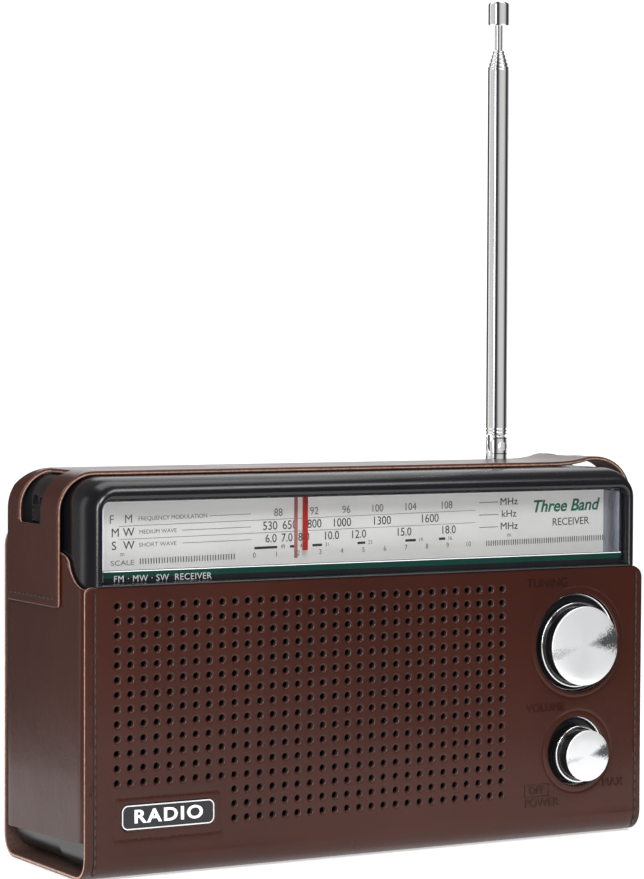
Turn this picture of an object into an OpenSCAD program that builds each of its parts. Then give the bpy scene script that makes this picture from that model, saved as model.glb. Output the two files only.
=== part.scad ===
// Portable three-band radio in a fitted leather case, millimetres.
// +X is right seen from the front, +Y goes to the back and +Z is up.
// The origin is the middle of the case's flat underside.

/* [Leather case] */
// Width of the front panel
case_w = 210.6; // [205:0.1:215]
// Depth of the case, front panel to back flap
case_d = 62; // [61:0.5:64]
// Thickness of the leather
leather = 1.4; // [1.2:0.1:1.6]
// Outer radius of the folds at the bottom edges
fold_r = 7; // [6:0.5:8]
// Height of the front panel
front_h = 91.6; // [90:0.1:93]
// Height of the back flap's top edge
flap_top = 109.4; // [100:0.2:112]
// Lowest point of the sewn strap ends
strap_end_z = 84.1; // [78:0.1:88]

/* [Punched grille] */
// Distance between punched holes
hole_pitch = 4.6; // [4.4:0.1:4.8]
// Diameter of a punched hole
hole_d = 2.2; // [1.6:0.1:2.6]
// Holes in a full row
hole_cols = 32; // [24:1:32]
// Rows of holes
hole_rows = 16; // [12:1:16]
// Holes left out of each short row, beside the badge
badge_cols = 9; // [7:1:12]
// Rows that are short
badge_rows = 3; // [2:1:4]

/* [Cabinet] */
// Outer width of the plastic cabinet
cab_w = 207.2; // [206:0.1:207.4]
// Height of the cabinet's top face
cab_top = 125.2; // [124:0.1:125.2]
// Wall thickness
wall = 2; // [1.6:0.1:2.4]
// Corner radius seen from the front
cab_r = 10; // [8:0.5:10]
// How far the bezel stands in front of the speaker wall
bezel_out = 3.6; // [2:0.1:4]

/* [Dial] */
// Width of the dial window
window_w = 198; // [190:1:198]
// Top of the dial window
window_top = 117.8; // [115:0.1:118]
// Length of the pointer's travel
pointer_travel = 79; // [70:1:80]
// Place of the pointer in its travel as shown, from 0 to 1
pointer_at = 0.23; // [0.1:0.01:0.9]

/* [Knobs] */
// Distance of both knobs from the centre plane
knob_x = 78.8; // [76:0.1:80]
// Height of the tuning knob's axis
tuning_z = 65.4; // [64:0.1:68]
// Radius of the tuning knob's face
tuning_r = 13.4; // [12:0.1:14]
// Height of the volume knob's axis
volume_z = 28.4; // [27:0.1:31]
// Radius of the volume knob's face
volume_r = 8.6; // [8:0.1:9.5]
// How far the tuning knob's face stands in front of the leather
tuning_out = 4.6; // [4:0.1:8]
// How far the volume knob's face stands in front of the leather
volume_out = 6.6; // [4:0.1:8]

/* [Speaker] */
// Outer diameter of the speaker's rim
speaker_d = 84; // [77:1:84]
// Speaker axis, left of the centre plane
speaker_x = -23; // [-26:1:-20]
// Height of the speaker axis
speaker_z = 47.5; // [46:0.5:48]

/* [Antenna] */
// Antenna axis, right of the centre plane
antenna_x = 80.6; // [78:0.1:82]
// Antenna axis, behind the centre plane
antenna_y = 22.8; // [22.5:0.1:23]
// Height of the folding pin
pin_z = 131.2; // [131:0.1:132]
// Outer radius of the widest tube
tube_r = 3.75; // [3.6:0.05:3.8]
// Length of the widest tube
tube_len = 130; // [120:1:135]

/* [Hidden] */
$fn = 48;
gap = 0.2;
front_y = -case_d / 2;
back_y = case_d / 2;
half_case = case_w / 2;
half_cab = cab_w / 2;
lining = leather + 0.2;
wall_front_y = front_y + 2 * lining - 0.2;
bezel_y = wall_front_y - bezel_out;
wall_back_y = back_y - 2 * lining + 0.1;
cab_bottom = leather + 0.4;
seam_y = -8.5;
hole_x0 = -20.5 * hole_pitch;
hole_z0 = 18.6 * hole_pitch;
tuning_hole_r = tuning_r + 3.4;
volume_hole_r = volume_r + 3.1;
knob_hole_rise = 0.8;
flap_z0 = fold_r + 1.1;
badge_x0 = -92.5;
badge_w = 32.2;
badge_z0 = 15.6;
badge_h = 7.5;
badge_corner_r = 2;
shaft_tip_y = -33;
strap_front_y = -13;
strap_rear_y = 25;
strap_top_rear_y = 18.4;
slot_y0 = -0.4;
slot_y1 = 16.6;
slot_z0 = 109.6;
slot_x = 96;
scale_y = -19;
scale_t = 1.2;
lens_y = wall_front_y - 0.2;
lens_t = 2;
shelf_z = front_h - 1.6;
rail_z = 120.9;
rail_y = -15.4;
cord_y = -14.3;
cord_r = 0.3;
cord_play = 0.06;
antenna_boss_z = 108;
cord_z = 118;
pulley_r = 5;
pulley_z = cord_z - pulley_r;
pulley_left_x = -88;
pulley_right_x = 91;
shaft_r = 3;
drum_x = 44;
drum_z = 69;
drum_r = pointer_travel / PI;
drum_y0 = -16.6;
drum_y1 = -12;
pointer_x0 = -40.7;
pointer_x = pointer_x0 + pointer_at * pointer_travel;
pcb_y = 8;
cell_r = 13.1;
cell_len = 50;
cell_y = 12;
cell_rows = [18.6, 46];
tray_x0 = -91;
tray_x1 = 16;
tray_top = 61.5;
cover_x0 = -88;
cover_x1 = 12;
cover_z0 = 6.5;
cover_z1 = 58;
selector_y = 7.4;
selector_z = 113;
jack_y = 11;
jack_z = 113;
jack_r = 1.8;
jack_len = 14;
boss_places = [[-96.5, 11], [96.5, 11], [-96.5, 82], [96.5, 82]];
speaker_screws_at = [for (a = [45 : 90 : 315]) [speaker_x + 44 * cos(a), speaker_z + 44 * sin(a)]];
stage_wall = 0.35;
stage_step = 0.42;
stage_lip = 1.4;
stage_count = 4;
tube_z0 = pin_z + 4;
tube_z1 = tube_z0 + tube_len;
rod_r = 1.4;
rod_out = 8.9;
tip_z0 = tube_z1 + stage_count * stage_lip + rod_out;
tip_len = 8.2;
stud_z = 97;
stud_x = 100.6;
// wheels of the dial cord as [x, z, radius], minus where it wraps clockwise
cord_wheels = [[knob_x, tuning_z, shaft_r + cord_r + cord_play], [pulley_right_x, pulley_z, pulley_r],
               [pulley_left_x, pulley_z, pulley_r], [drum_x, drum_z, -drum_r]];

// ---- helpers -----------------------------------------------------------

// A flat shape drawn as (x, z), from y0 back to y1
module along_y(y0, y1) {
    translate([0, y1, 0]) rotate([90, 0, 0]) linear_extrude(y1 - y0) children();
}

// A flat shape drawn as (y, z), from x0 to x1
module along_x(x0, x1) {
    translate([x0, 0, 0]) rotate([90, 0, 90]) linear_extrude(x1 - x0) children();
}

// A rectangle with four round corners, from its low corner to its high corner
module round_rect(low, high, r) {
    w = high[0] - low[0];
    h = high[1] - low[1];
    translate([low[0] + r, low[1]]) square([w - 2 * r, h]);
    translate([low[0], low[1] + r]) square([w, h - 2 * r]);
    for (x = [low[0] + r, high[0] - r], y = [low[1] + r, high[1] - r]) translate([x, y]) circle(r);
}

// A rod along Y at (x, z)
module rod_y(x, z, r, y0, y1) {
    translate([x, y1, z]) rotate([90, 0, 0]) cylinder(r = r, h = y1 - y0);
}

// A rod along X at (y, z)
module rod_x(y, z, r, x0, x1) {
    translate([x0, y, z]) rotate([0, 90, 0]) cylinder(r = r, h = x1 - x0);
}

module block(low, high) {
    translate(low) cube(high - low);
}

// ---- leather case ------------------------------------------------------

module front_outline() {
    difference() {
        round_rect([-half_case, fold_r - 20], [half_case, front_h], 4);
        translate([-half_case - 1, fold_r - 30]) square([case_w + 2, 30]);
    }
}

module punched_holes() {
    for (row = [0 : hole_rows - 1], col = [0 : hole_cols - 1])
        if (row < hole_rows - badge_rows || col >= badge_cols)
            translate([hole_x0 + col * hole_pitch, hole_z0 - row * hole_pitch]) circle(d = hole_d, $fn = 16);
}

module case_front() {
    color("#4a2620") along_y(front_y, front_y + leather) difference() {
        front_outline();
        punched_holes();
        translate([knob_x, tuning_z + knob_hole_rise]) circle(tuning_hole_r);
        translate([knob_x, volume_z + knob_hole_rise]) circle(volume_hole_r);
        round_rect([badge_x0 - 0.4, badge_z0 - 0.4], [badge_x0 + badge_w + 0.4, badge_z0 + badge_h + 0.4],
            badge_corner_r + 0.4);
    }
}

module case_base() {
    color("#4a2620") along_x(-half_case, half_case) intersection() {
        difference() {
            round_rect([front_y, 0], [back_y, 40], fold_r);
            round_rect([front_y + leather, leather], [back_y - leather, 40 + leather], fold_r - leather);
        }
        translate([front_y - 1, -1]) square([case_d + 2, fold_r + 1]);
    }
}

module case_back_flap() {
    color("#45231e") along_y(back_y - leather, back_y) difference() {
        round_rect([-half_case, flap_z0 - 20], [half_case, flap_top], 8);
        translate([-half_case - 1, flap_z0 - 30]) square([case_w + 2, 30]);
        for (side = [-1, 1]) translate([side * stud_x, stud_z]) circle(1.6);
    }
}

// Outline of a side gusset: sloping top, scooped under the bezel's corner
module gusset_outline() {
    flange_y = wall_front_y - 1.5;
    difference() {
        polygon([[flange_y, 12], [wall_back_y + 1.6, 9.7], [wall_back_y + 1.6, flap_top + 1.8], [-15, 100.4],
                 [-17.5, 96], [flange_y, 96]]);
        translate([flange_y + 1.5, 102.6]) circle(11.6);
    }
}

module gusset_section() {
    outer_y0 = front_y + lining - 0.1;
    outer_y1 = back_y - lining + 0.1;
    inner_x = half_case - leather;
    difference() {
        round_rect([half_case - 20, outer_y0], [half_case, outer_y1], 2.4);
        round_rect([half_case - 30, outer_y0 + leather], [inner_x, outer_y1 - leather], 1);
        translate([half_case - 30, outer_y0 - 1]) square([22.6, case_d]);
    }
}

module case_gusset(side) {
    mirror([side < 0 ? 1 : 0, 0, 0]) color("#4a2822") difference() {
        intersection() {
            linear_extrude(120) gusset_section();
            along_x(half_case - 20, half_case + 1) gusset_outline();
            block([half_case - 20, front_y, 0], [half_case + 1, back_y, 114]);
        }
        block([half_case - 20, front_y, front_h - 0.4], [half_case + 1, wall_front_y + 0.2, 120]);
        block([half_case - 20, wall_back_y, flap_top - 2.5], [half_case + 1, back_y, 120]);
        rod_y(stud_x, stud_z, 1.3, wall_back_y - 1, back_y);
    }
}

module strap_plan() {
    polygon([[-half_case - 3, strap_front_y], [half_case + 3, strap_front_y], [half_case + 3, strap_rear_y],
             [half_case - 1, strap_rear_y], [half_case - 14, strap_top_rear_y],
             [-half_case + 14, strap_top_rear_y], [-half_case + 1, strap_rear_y],
             [-half_case - 3, strap_rear_y]]);
}

module case_strap() {
    inner = half_case + 0.15;
    color("#4d2a23") difference() {
        intersection() {
            along_y(strap_front_y, strap_rear_y) difference() {
                round_rect([-inner - leather, 40], [inner + leather, cab_top + gap + leather],
                           cab_r + 1.7 + leather);
                round_rect([-inner, 30], [inner, cab_top + gap], cab_r + 1.7);
                translate([-inner - 5, 0]) square([2 * inner + 10, strap_end_z]);
            }
            linear_extrude(200) strap_plan();
        }
        for (side = [-1, 1]) {
            low_x = side < 0 ? -half_case - 3 : slot_x;
            block([low_x, slot_y0, slot_z0], [low_x + half_case + 3 - slot_x, slot_y1, 140]);
        }
    }
}

module press_stud_caps() {
    color("#6b4a30") for (side = [-1, 1]) {
        rod_y(side * stud_x, stud_z, 4, back_y, back_y + 1);
        rod_y(side * stud_x, stud_z, 2.6, back_y + 1, back_y + 1.6);
        rod_y(side * stud_x, stud_z, 1.5, back_y - leather, back_y);
    }
}

module press_stud_posts() {
    color("#8a7a60") for (side = [-1, 1])
        rod_y(side * stud_x, stud_z, 1.2, wall_back_y + 0.1, back_y - leather - 0.1);
}

// ---- cabinet -----------------------------------------------------------

// Block with rounded corners and a front edge rounded by edge_r, inset from the cabinet outline
module cabinet_block(y0, y1, z0, inset, edge_r) {
    intersection() {
        along_y(y0, y1) round_rect([-half_cab + inset, cab_bottom + inset], [half_cab - inset, cab_top - inset],
                                   cab_r - inset);
        along_x(-half_cab, half_cab) round_rect([y0, z0], [y1 + 40, cab_top - inset], edge_r);
        translate([0, 0, -1]) linear_extrude(cab_top + 2) round_rect([-half_cab + inset, y0],
                                                                    [half_cab - inset, y1 + 40], edge_r);
    }
}

module grille_slots() {
    slot_w = 3;
    intersection() {
        translate([speaker_x, speaker_z]) circle(36);
        for (n = [-6 : 6]) translate([speaker_x + n * 2 * slot_w - slot_w / 2, 0]) square([slot_w, cab_top]);
    }
}

module front_cabinet() {
    boss_r = 3.6;
    color("#1b1b1f") difference() {
        union() {
            difference() {
                union() {
                    cabinet_block(wall_front_y, seam_y, cab_bottom, 0, 4);
                    cabinet_block(bezel_y, seam_y, front_h + 0.2, 0, 4.5);
                }
                cabinet_block(wall_front_y + wall, seam_y + 1, cab_bottom + wall, wall, 2);
                block([-window_w / 2, bezel_y - 1, front_h + 1], [window_w / 2, wall_front_y + wall + 1, window_top]);
            }
            block([-half_cab + wall, wall_front_y + wall, shelf_z], [half_cab - wall, scale_y - 0.1, shelf_z + 1.2]);
            for (side = [-1, 1]) block([side * 100.3 - 1.3, wall_front_y + wall, shelf_z],
                                       [side * 100.3 + 1.3, scale_y - 0.1, cab_top - wall - 3]);
            for (p = boss_places) rod_y(p[0], p[1], boss_r, wall_front_y + wall, seam_y - 0.1);
        }
        along_y(wall_front_y - 1, wall_front_y + wall + 1) grille_slots();
        rod_y(knob_x, tuning_z, 5.1, wall_front_y - 1, wall_front_y + wall + 1);
        rod_y(knob_x, volume_z, 5.1, wall_front_y - 1, wall_front_y + wall + 1);
        for (p = boss_places) rod_y(p[0], p[1], 1.25, -22, seam_y + 1);
        for (p = speaker_screws_at) rod_y(p[0], p[1], 1.2, wall_front_y + 0.8, wall_front_y + wall + 1);
    }
}

module rear_cabinet() {
    color("#17171a") difference() {
        union() {
            difference() {
                mirror([0, 1, 0]) cabinet_block(-wall_back_y, -seam_y - 0.1, cab_bottom, 0, 4);
                mirror([0, 1, 0]) cabinet_block(-wall_back_y + wall, -seam_y + 1, cab_bottom + wall, wall, 2);
            }
            for (p = boss_places) rod_y(p[0], p[1], 3.6, seam_y + 0.1, wall_back_y - wall);
            translate([antenna_x, antenna_y, antenna_boss_z]) cylinder(r = 4.9, h = cab_top - wall - antenna_boss_z);
        }
        block([cover_x0, wall_back_y - wall - 1, cover_z0], [cover_x1, wall_back_y + 1, cover_z1]);
        for (p = boss_places) {
            rod_y(p[0], p[1], 1.7, seam_y - 1, wall_back_y + 1);
            rod_y(p[0], p[1], 3, wall_back_y - 4, wall_back_y + 1);
        }
        translate([antenna_x, antenna_y, 106]) cylinder(r = 3.6, h = 30);
        block([-half_cab - 1, selector_y - 4.9, selector_z - 5.5], [-half_cab + 1.2, selector_y + 4.9, selector_z + 5.5]);
        block([-half_cab - 1, selector_y - 2, selector_z - 4.6], [-half_cab + 4, selector_y + 2, selector_z + 4.6]);
        rod_x(jack_y, jack_z, 4.1, half_cab - 4, half_cab + 1);
    }
}

module battery_cover() {
    color("#1d1d20") difference() {
        union() {
            block([cover_x0 + 0.4, wall_back_y - wall + 0.2, cover_z0 + 0.4],
                  [cover_x1 - 6.4, wall_back_y - 0.2, cover_z1 - 0.4]);
            for (z = [20, 45]) block([cover_x0 + 12, wall_back_y - wall - 0.5, z - 3],
                                     [cover_x0 + 24, wall_back_y - wall + 0.2, z + 3]);
        }
        for (n = [0 : 4]) block([cover_x1 - 22 + n * 2.4, wall_back_y - 0.8, 26],
                                [cover_x1 - 21 + n * 2.4, wall_back_y + 1, 40]);
    }
}

module cabinet_screws() {
    color("#8d9096") for (p = boss_places) {
        rod_y(p[0], p[1], 1.2, -20, wall_back_y - 4);
        difference() {
            rod_y(p[0], p[1], 2.8, wall_back_y - 4, wall_back_y - 2.2);
            for (a = [0, 90]) translate([p[0], wall_back_y - 2.2, p[1]]) rotate([0, a, 0])
                cube([3.6, 1.4, 0.6], center = true);
        }
    }
}

module badge_plate() {
    color("#101013") along_y(front_y + 0.3, wall_front_y - 0.05)
        round_rect([badge_x0, badge_z0], [badge_x0 + badge_w, badge_z0 + badge_h], badge_corner_r);
}

// ---- dial --------------------------------------------------------------

module dial_lens() {
    half = window_w / 2 - 0.3;
    color("#dfe6e8", 0.35) union() {
        block([-half, lens_y, front_h + 1.2], [half, lens_y + lens_t, window_top - 0.3]);
        for (side = [-1, 1]) block([side * (half - 0.7) - 0.7, lens_y + lens_t, front_h + 1.2],
                                   [side * (half - 0.7) + 0.7, scale_y - 3, window_top - 0.3]);
    }
}

module dial_scale() {
    color("#e9e9e4") block([-97.6, scale_y, shelf_z + 1.3], [97.6, scale_y + scale_t, 119.3]);
}

module dial_pointer() {
    needle_y = scale_y - 3.4;
    color("#c8202a") difference() {
        translate([pointer_x, 0, 0]) {
            block([-0.8, needle_y, 100.2], [0.8, needle_y + 0.8, 121.4]);
            block([-1.6, needle_y, 120.2], [1.6, rail_y, 121.4]);
            block([-5, rail_y - 1.7, 116.4], [5, rail_y + 1.9, 122.8]);
        }
        rod_x(rail_y, rail_z, 0.86, pointer_x - 6, pointer_x + 6);
        block([pointer_x - 6, cord_y - 0.7, cord_z - 0.7], [pointer_x + 6, rail_y + 3, cord_z + 0.7]);
    }
}

module pointer_rail() {
    color("#b9bcc0") union() {
        rod_x(rail_y, rail_z, 0.8, -62, 66);
        for (x = [-62, 66]) block([x - 1, rail_y - 2, rail_z - 2], [x + 1, rail_y + 2, cab_top - wall - 0.1]);
    }
}

// ---- tuning drive ------------------------------------------------------

// Knob body: skirt with a ring groove, and a straight grip in front of it
module knob_body(x, z, r, out, shaft) {
    face_y = front_y - out;
    skirt_y = face_y + 5.2;
    color("#121215") difference() {
        union() {
            rod_y(x, z, r, face_y + 0.6, wall_front_y - 0.5);
            rod_y(x, z, r + 1, skirt_y, wall_front_y - 0.5);
        }
        rod_y(x, z, shaft + 0.02, shaft_tip_y, wall_front_y + 1);
        rod_y(x, z, r - 1.2, face_y, face_y + 1.2);
    }
}

module knob_cap(x, z, r, out) {
    face_y = front_y - out;
    color("#d9dcdf") {
        rod_y(x, z, r - 1.25, face_y + 0.6, face_y + 1.2);
        rod_y(x, z, r - 0.2, face_y, face_y + 0.6);
    }
}

module tuning_knob() {
    knob_body(knob_x, tuning_z, tuning_r, tuning_out, shaft_r);
}

module tuning_knob_cap() {
    knob_cap(knob_x, tuning_z, tuning_r, tuning_out);
}

module tuning_shaft() {
    color("#c3c6ca") rod_y(knob_x, tuning_z, shaft_r, shaft_tip_y, -10);
}

module tuning_bush() {
    color("#a98b4e") difference() {
        union() {
            rod_y(knob_x, tuning_z, 5, wall_front_y + 0.2, -18);
            rod_y(knob_x, tuning_z, 7.5, wall_front_y + wall + 0.05, wall_front_y + wall + 2);
        }
        rod_y(knob_x, tuning_z, shaft_r + 0.05, -40, 0);
    }
}

module dial_drum() {
    color("#cfcabb") difference() {
        union() {
            rod_y(drum_x, drum_z, drum_r + 1.6, drum_y0, drum_y0 + 1);
            rod_y(drum_x, drum_z, drum_r - cord_r - 0.05, drum_y0 + 1, drum_y1 - 1);
            rod_y(drum_x, drum_z, drum_r + 1.6, drum_y1 - 1, drum_y1);
        }
        for (a = [0 : 60 : 300])
            rod_y(drum_x + 15 * cos(a), drum_z + 15 * sin(a), 5, drum_y0 - 1, drum_y1 + 1);
        rod_y(drum_x, drum_z, 3, drum_y0 - 1, drum_y1 + 1);
    }
}

module drum_shaft() {
    color("#c3c6ca") rod_y(drum_x, drum_z, 2.98, drum_y0 - 1, -7);
}

module tuning_capacitor() {
    color("#d8d5cc") difference() {
        block([drum_x - 12, -9.6, drum_z - 12], [drum_x + 12, pcb_y - 0.1, drum_z + 12]);
        rod_y(drum_x, drum_z, 3.05, -10, -6);
    }
}

module cord_pulleys() {
    color("#cfcabb") for (x = [pulley_left_x, pulley_right_x]) {
        rod_y(x, pulley_z, pulley_r + 1.2, cord_y - 1.6, cord_y - 0.7);
        rod_y(x, pulley_z, pulley_r - cord_r - 0.05, cord_y - 0.7, cord_y + 0.7);
        rod_y(x, pulley_z, pulley_r + 1.2, cord_y + 0.7, cord_y + 1.6);
        rod_y(x, pulley_z, 1.5, cord_y + 1.6, -9);
    }
}

// Angle of the line that leaves wheel a and reaches wheel b, as the normal on its right
function tangent(a, b) =
    let (d = [b[0] - a[0], b[1] - a[1]])
    atan2(d[1], d[0]) - acos((a[2] - b[2]) / norm(d));

// Points of the cord on one wheel, between the normals it arrives and leaves with
function wrap(wheel, arrive, leave, steps) =
    let (turn = wheel[2] > 0 ? (leave - arrive + 720) % 360 : -((arrive - leave + 720) % 360))
    [for (n = [0 : steps])
        let (angle = arrive + turn * n / steps)
        [wheel[0] + wheel[2] * cos(angle), wheel[1] + wheel[2] * sin(angle)]];

// The cord leaves the drum, passes the shaft and both pulleys, and comes back to the drum
function cord_path() =
    let (w = cord_wheels,
         drum_shaft_n = tangent(w[3], w[0]),
         shaft_right = tangent(w[0], w[1]),
         right_left = tangent(w[1], w[2]),
         left_drum = tangent(w[2], w[3]))
    concat(wrap(w[3], drum_shaft_n + 8, drum_shaft_n, 1),
           wrap(w[0], drum_shaft_n, shaft_right, 7),
           wrap(w[1], shaft_right, right_left, 9),
           wrap(w[2], right_left, left_drum, 9),
           wrap(w[3], left_drum, drum_shaft_n + 14, 14));

module dial_cord() {
    path = cord_path();
    sides = 8;
    last = len(path) - 1;
    heading = [for (i = [0 : last])
        let (d = path[min(i + 1, last)] - path[max(i - 1, 0)]) d / norm(d)];
    ring = [for (i = [0 : last], k = [0 : sides - 1])
        let (a = 360 * k / sides)
        [path[i][0] - heading[i][1] * cord_r * cos(a), cord_y + cord_r * sin(a),
         path[i][1] + heading[i][0] * cord_r * cos(a)]];
    walls = [for (i = [0 : last - 1], k = [0 : sides - 1])
        [i * sides + k, i * sides + (k + 1) % sides, (i + 1) * sides + (k + 1) % sides, (i + 1) * sides + k]];
    ends = [[for (k = [0 : sides - 1]) sides - 1 - k], [for (k = [0 : sides - 1]) last * sides + k]];
    color("#e8e2cc") polyhedron(ring, concat(walls, ends));
}

// ---- volume control ----------------------------------------------------

module volume_knob() {
    knob_body(knob_x, volume_z, volume_r, volume_out, shaft_r);
}

module volume_knob_cap() {
    knob_cap(knob_x, volume_z, volume_r, volume_out);
}

module volume_shaft() {
    color("#c3c6ca") rod_y(knob_x, volume_z, shaft_r, shaft_tip_y, -19);
}

module volume_control() {
    color("#8e8f86") difference() {
        union() {
            rod_y(knob_x, volume_z, 5, wall_front_y + 0.2, wall_front_y + wall + 0.1);
            rod_y(knob_x, volume_z, 8.5, wall_front_y + wall + 0.1, -14);
            block([knob_x - 6, -14, volume_z - 12], [knob_x + 6, pcb_y - 0.1, volume_z + 6]);
        }
        rod_y(knob_x, volume_z, shaft_r + 0.05, -40, -18.8);
    }
}

// ---- speaker -----------------------------------------------------------

module speaker_basket() {
    y0 = wall_front_y + wall + 0.1;
    color("#9a9c9f") translate([speaker_x, y0, speaker_z]) rotate([-90, 0, 0]) difference() {
        rotate_extrude() polygon([[speaker_d / 2 - 6, 0], [speaker_d / 2, 0], [speaker_d / 2, 1],
                                  [speaker_d / 2 - 5, 1], [21, 14], [21, 16], [9, 16], [9, 15],
                                  [19.6, 15], [19.6, 13.6]]);
        for (a = [0 : 60 : 300]) rotate([0, 0, a]) translate([25, -5, 3]) cube([8, 10, 9]);
    }
    color("#9a9c9f") for (p = speaker_screws_at) difference() {
        rod_y(p[0], p[1], 3, y0, y0 + 1);
        rod_y(p[0], p[1], 1.35, y0 - 1, y0 + 2);
        rod_y(speaker_x, speaker_z, speaker_d / 2, y0 - 1, y0 + 2);
    }
}

module speaker_cone() {
    y0 = wall_front_y + wall + 0.1;
    color("#2a2724") translate([speaker_x, y0, speaker_z]) rotate([-90, 0, 0]) rotate_extrude()
        polygon([[0, 7.2], [5, 8.6], [10, 11.2], [32.6, 0.8], [34.6, 0.1], [34.6, 0.7], [32.8, 1.7],
                 [10.2, 12.4], [5, 9.6], [0, 8.2]]);
}

module speaker_magnet() {
    y0 = wall_front_y + wall + 16.2;
    color("#55575b") {
        rod_y(speaker_x, speaker_z, 17, y0, y0 + 5.5);
        rod_y(speaker_x, speaker_z, 14, y0 + 5.5, y0 + 7);
    }
}

module speaker_screws() {
    y0 = wall_front_y + wall + 1.1;
    color("#8d9096") for (p = speaker_screws_at) {
        rod_y(p[0], p[1], 1.15, wall_front_y + 1, y0);
        rod_y(p[0], p[1], 2.4, y0, y0 + 1.4);
    }
}

// ---- electronics -------------------------------------------------------

module circuit_board() {
    color("#5c7a3a") difference() {
        block([24, pcb_y, 8], [92, pcb_y + 1.6, 104]);
        for (p = [[28, 12], [88, 12], [28, 100], [88, 100]]) rod_y(p[0], p[1], 1.6, pcb_y - 1, pcb_y + 3);
    }
}

module board_coils() {
    color("#b9bcc0") for (n = [0 : 4]) block([29 + n * 11, -1, 90], [37 + n * 11, pcb_y - 0.05, 98]);
}

module band_switch() {
    color("#b0b2b4") block([-half_cab + 5, selector_y - 5, selector_z - 7], [-half_cab + 12, selector_y + 5, selector_z + 7]);
}

module band_selector() {
    color("#1f1f24") difference() {
        union() {
            block([-half_cab + 0.4, selector_y - 1.6, selector_z - 2.4], [-half_cab + 4.8, selector_y + 1.6, selector_z + 2.4]);
            block([-half_cab - 0.5, selector_y - 4.3, selector_z - 2.7], [-half_cab + 0.8, selector_y + 4.3, selector_z + 2.7]);
        }
        for (n = [-1 : 1]) block([-half_cab - 1, selector_y - 5, selector_z + n * 1.6 - 0.3],
                                 [-half_cab - 0.1, selector_y + 5, selector_z + n * 1.6 + 0.3]);
    }
}

module ferrite_rod() {
    color("#3a3a3d") rod_x(6, 113, 5, -78, 66);
}

module ferrite_coil() {
    color("#b5793a") difference() {
        rod_x(6, 113, 6.2, 30, 54);
        rod_x(6, 113, 5.05, 29, 55);
    }
}

module ferrite_holders() {
    color("#d5d2c8") for (x = [-68, 12]) difference() {
        block([x - 3, -1, 105.5], [x + 3, 13, cab_top - wall - 0.1]);
        rod_x(6, 113, 5.05, x - 4, x + 4);
    }
}

// ---- batteries ---------------------------------------------------------

module battery_tray() {
    color("#1b1b1f") difference() {
        block([tray_x0, -2.6, cab_bottom + wall + 0.5], [tray_x1, wall_back_y - wall - 1.2, tray_top]);
        block([tray_x0 + 1, -1.4, cab_bottom + wall + 1.3], [tray_x1 - 1, wall_back_y, tray_top - 1]);
    }
}

module batteries() {
    color("#9a3b2e") for (z = cell_rows, n = [0, 1]) {
        x0 = tray_x0 + 2 + n * (cell_len + 0.2);
        rod_x(cell_y, z, cell_r, x0, x0 + cell_len - 1.5);
        rod_x(cell_y, z, 3.3, x0 + cell_len - 1.5, x0 + cell_len);
    }
}

module battery_springs() {
    x0 = tray_x1 - 4.6;
    color("#c3c6ca") for (z = cell_rows) difference() {
        rod_x(cell_y, z, 6, x0 + 0.9, tray_x1 - 2);
        rod_x(cell_y, z, 5, x0, tray_x1);
    }
}

module battery_contacts() {
    color("#c3c6ca") union() {
        for (z = cell_rows) block([tray_x1 - 1.8, cell_y - 7, z - 7], [tray_x1 - 1.1, cell_y + 7, z + 7]);
        block([tray_x0 + 1.1, cell_y - 5, cell_rows[0] - 5], [tray_x0 + 1.8, cell_y + 5, cell_rows[1] + 5]);
    }
}

module earphone_jack() {
    color("#2b2b30") difference() {
        union() {
            rod_x(jack_y, jack_z, 4, half_cab - jack_len - 1.5, half_cab + 0.2);
            block([half_cab - jack_len - 1.5, jack_y - 5, jack_z - 5], [half_cab - 4, jack_y + 5, jack_z + 5]);
        }
        rod_x(jack_y, jack_z, jack_r, half_cab - jack_len, half_cab + 1);
    }
}

// ---- antenna -----------------------------------------------------------

module at_antenna() {
    translate([antenna_x, antenna_y, 0]) children();
}

module antenna_collar() {
    color("#c8cbcf") at_antenna() difference() {
        union() {
            translate([0, 0, 112]) cylinder(r = 3.55, h = cab_top - 112);
            translate([0, 0, cab_top]) cylinder(r = 4.4, h = 0.8);
        }
        translate([0, 0, 100]) cylinder(r = 2.8, h = 40);
    }
}

module antenna_swivel() {
    seat = cab_top + 0.85;
    color("#cfd2d6") at_antenna() difference() {
        union() {
            translate([0, 0, 110.5]) cylinder(r = 2.74, h = seat - 110.4);
            translate([0, 0, 109.4]) cylinder(r = 3.3, h = 1.4);
            intersection() {
                translate([0, 0, seat]) cylinder(r = tube_r, h = 12);
                union() {
                    translate([-5, -5, seat]) cube([10, 10, pin_z - seat]);
                    rod_y(0, pin_z, 3.6, -5, 5);
                }
            }
        }
        rod_y(0, pin_z, 3.3, -1.3, 1.3);
        translate([-5, -1.3, pin_z]) cube([10, 2.6, 10]);
        translate([-5, -1.3, pin_z - 3.3]) cube([5, 2.6, 10]);
        rod_y(0, pin_z, 1.02, -5, 5);
    }
}

module antenna_pin() {
    color("#b9bcc0") at_antenna() rod_y(0, pin_z, 1, -tube_r, tube_r);
}

// One telescoping tube: number 1 is the widest
module stage(number) {
    outer = tube_r - (number - 1) * stage_step;
    bore = number == stage_count + 1 ? rod_r + 0.05 : outer - stage_wall;
    low = tube_z0 + 2.8 + number * 0.6;
    color("#dadde0") at_antenna() translate([0, 0, low]) difference() {
        cylinder(r = outer, h = tube_z1 + (number - 1) * stage_lip - low);
        translate([0, 0, -1]) cylinder(r = bore, h = tube_len + 20);
    }
}

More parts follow.
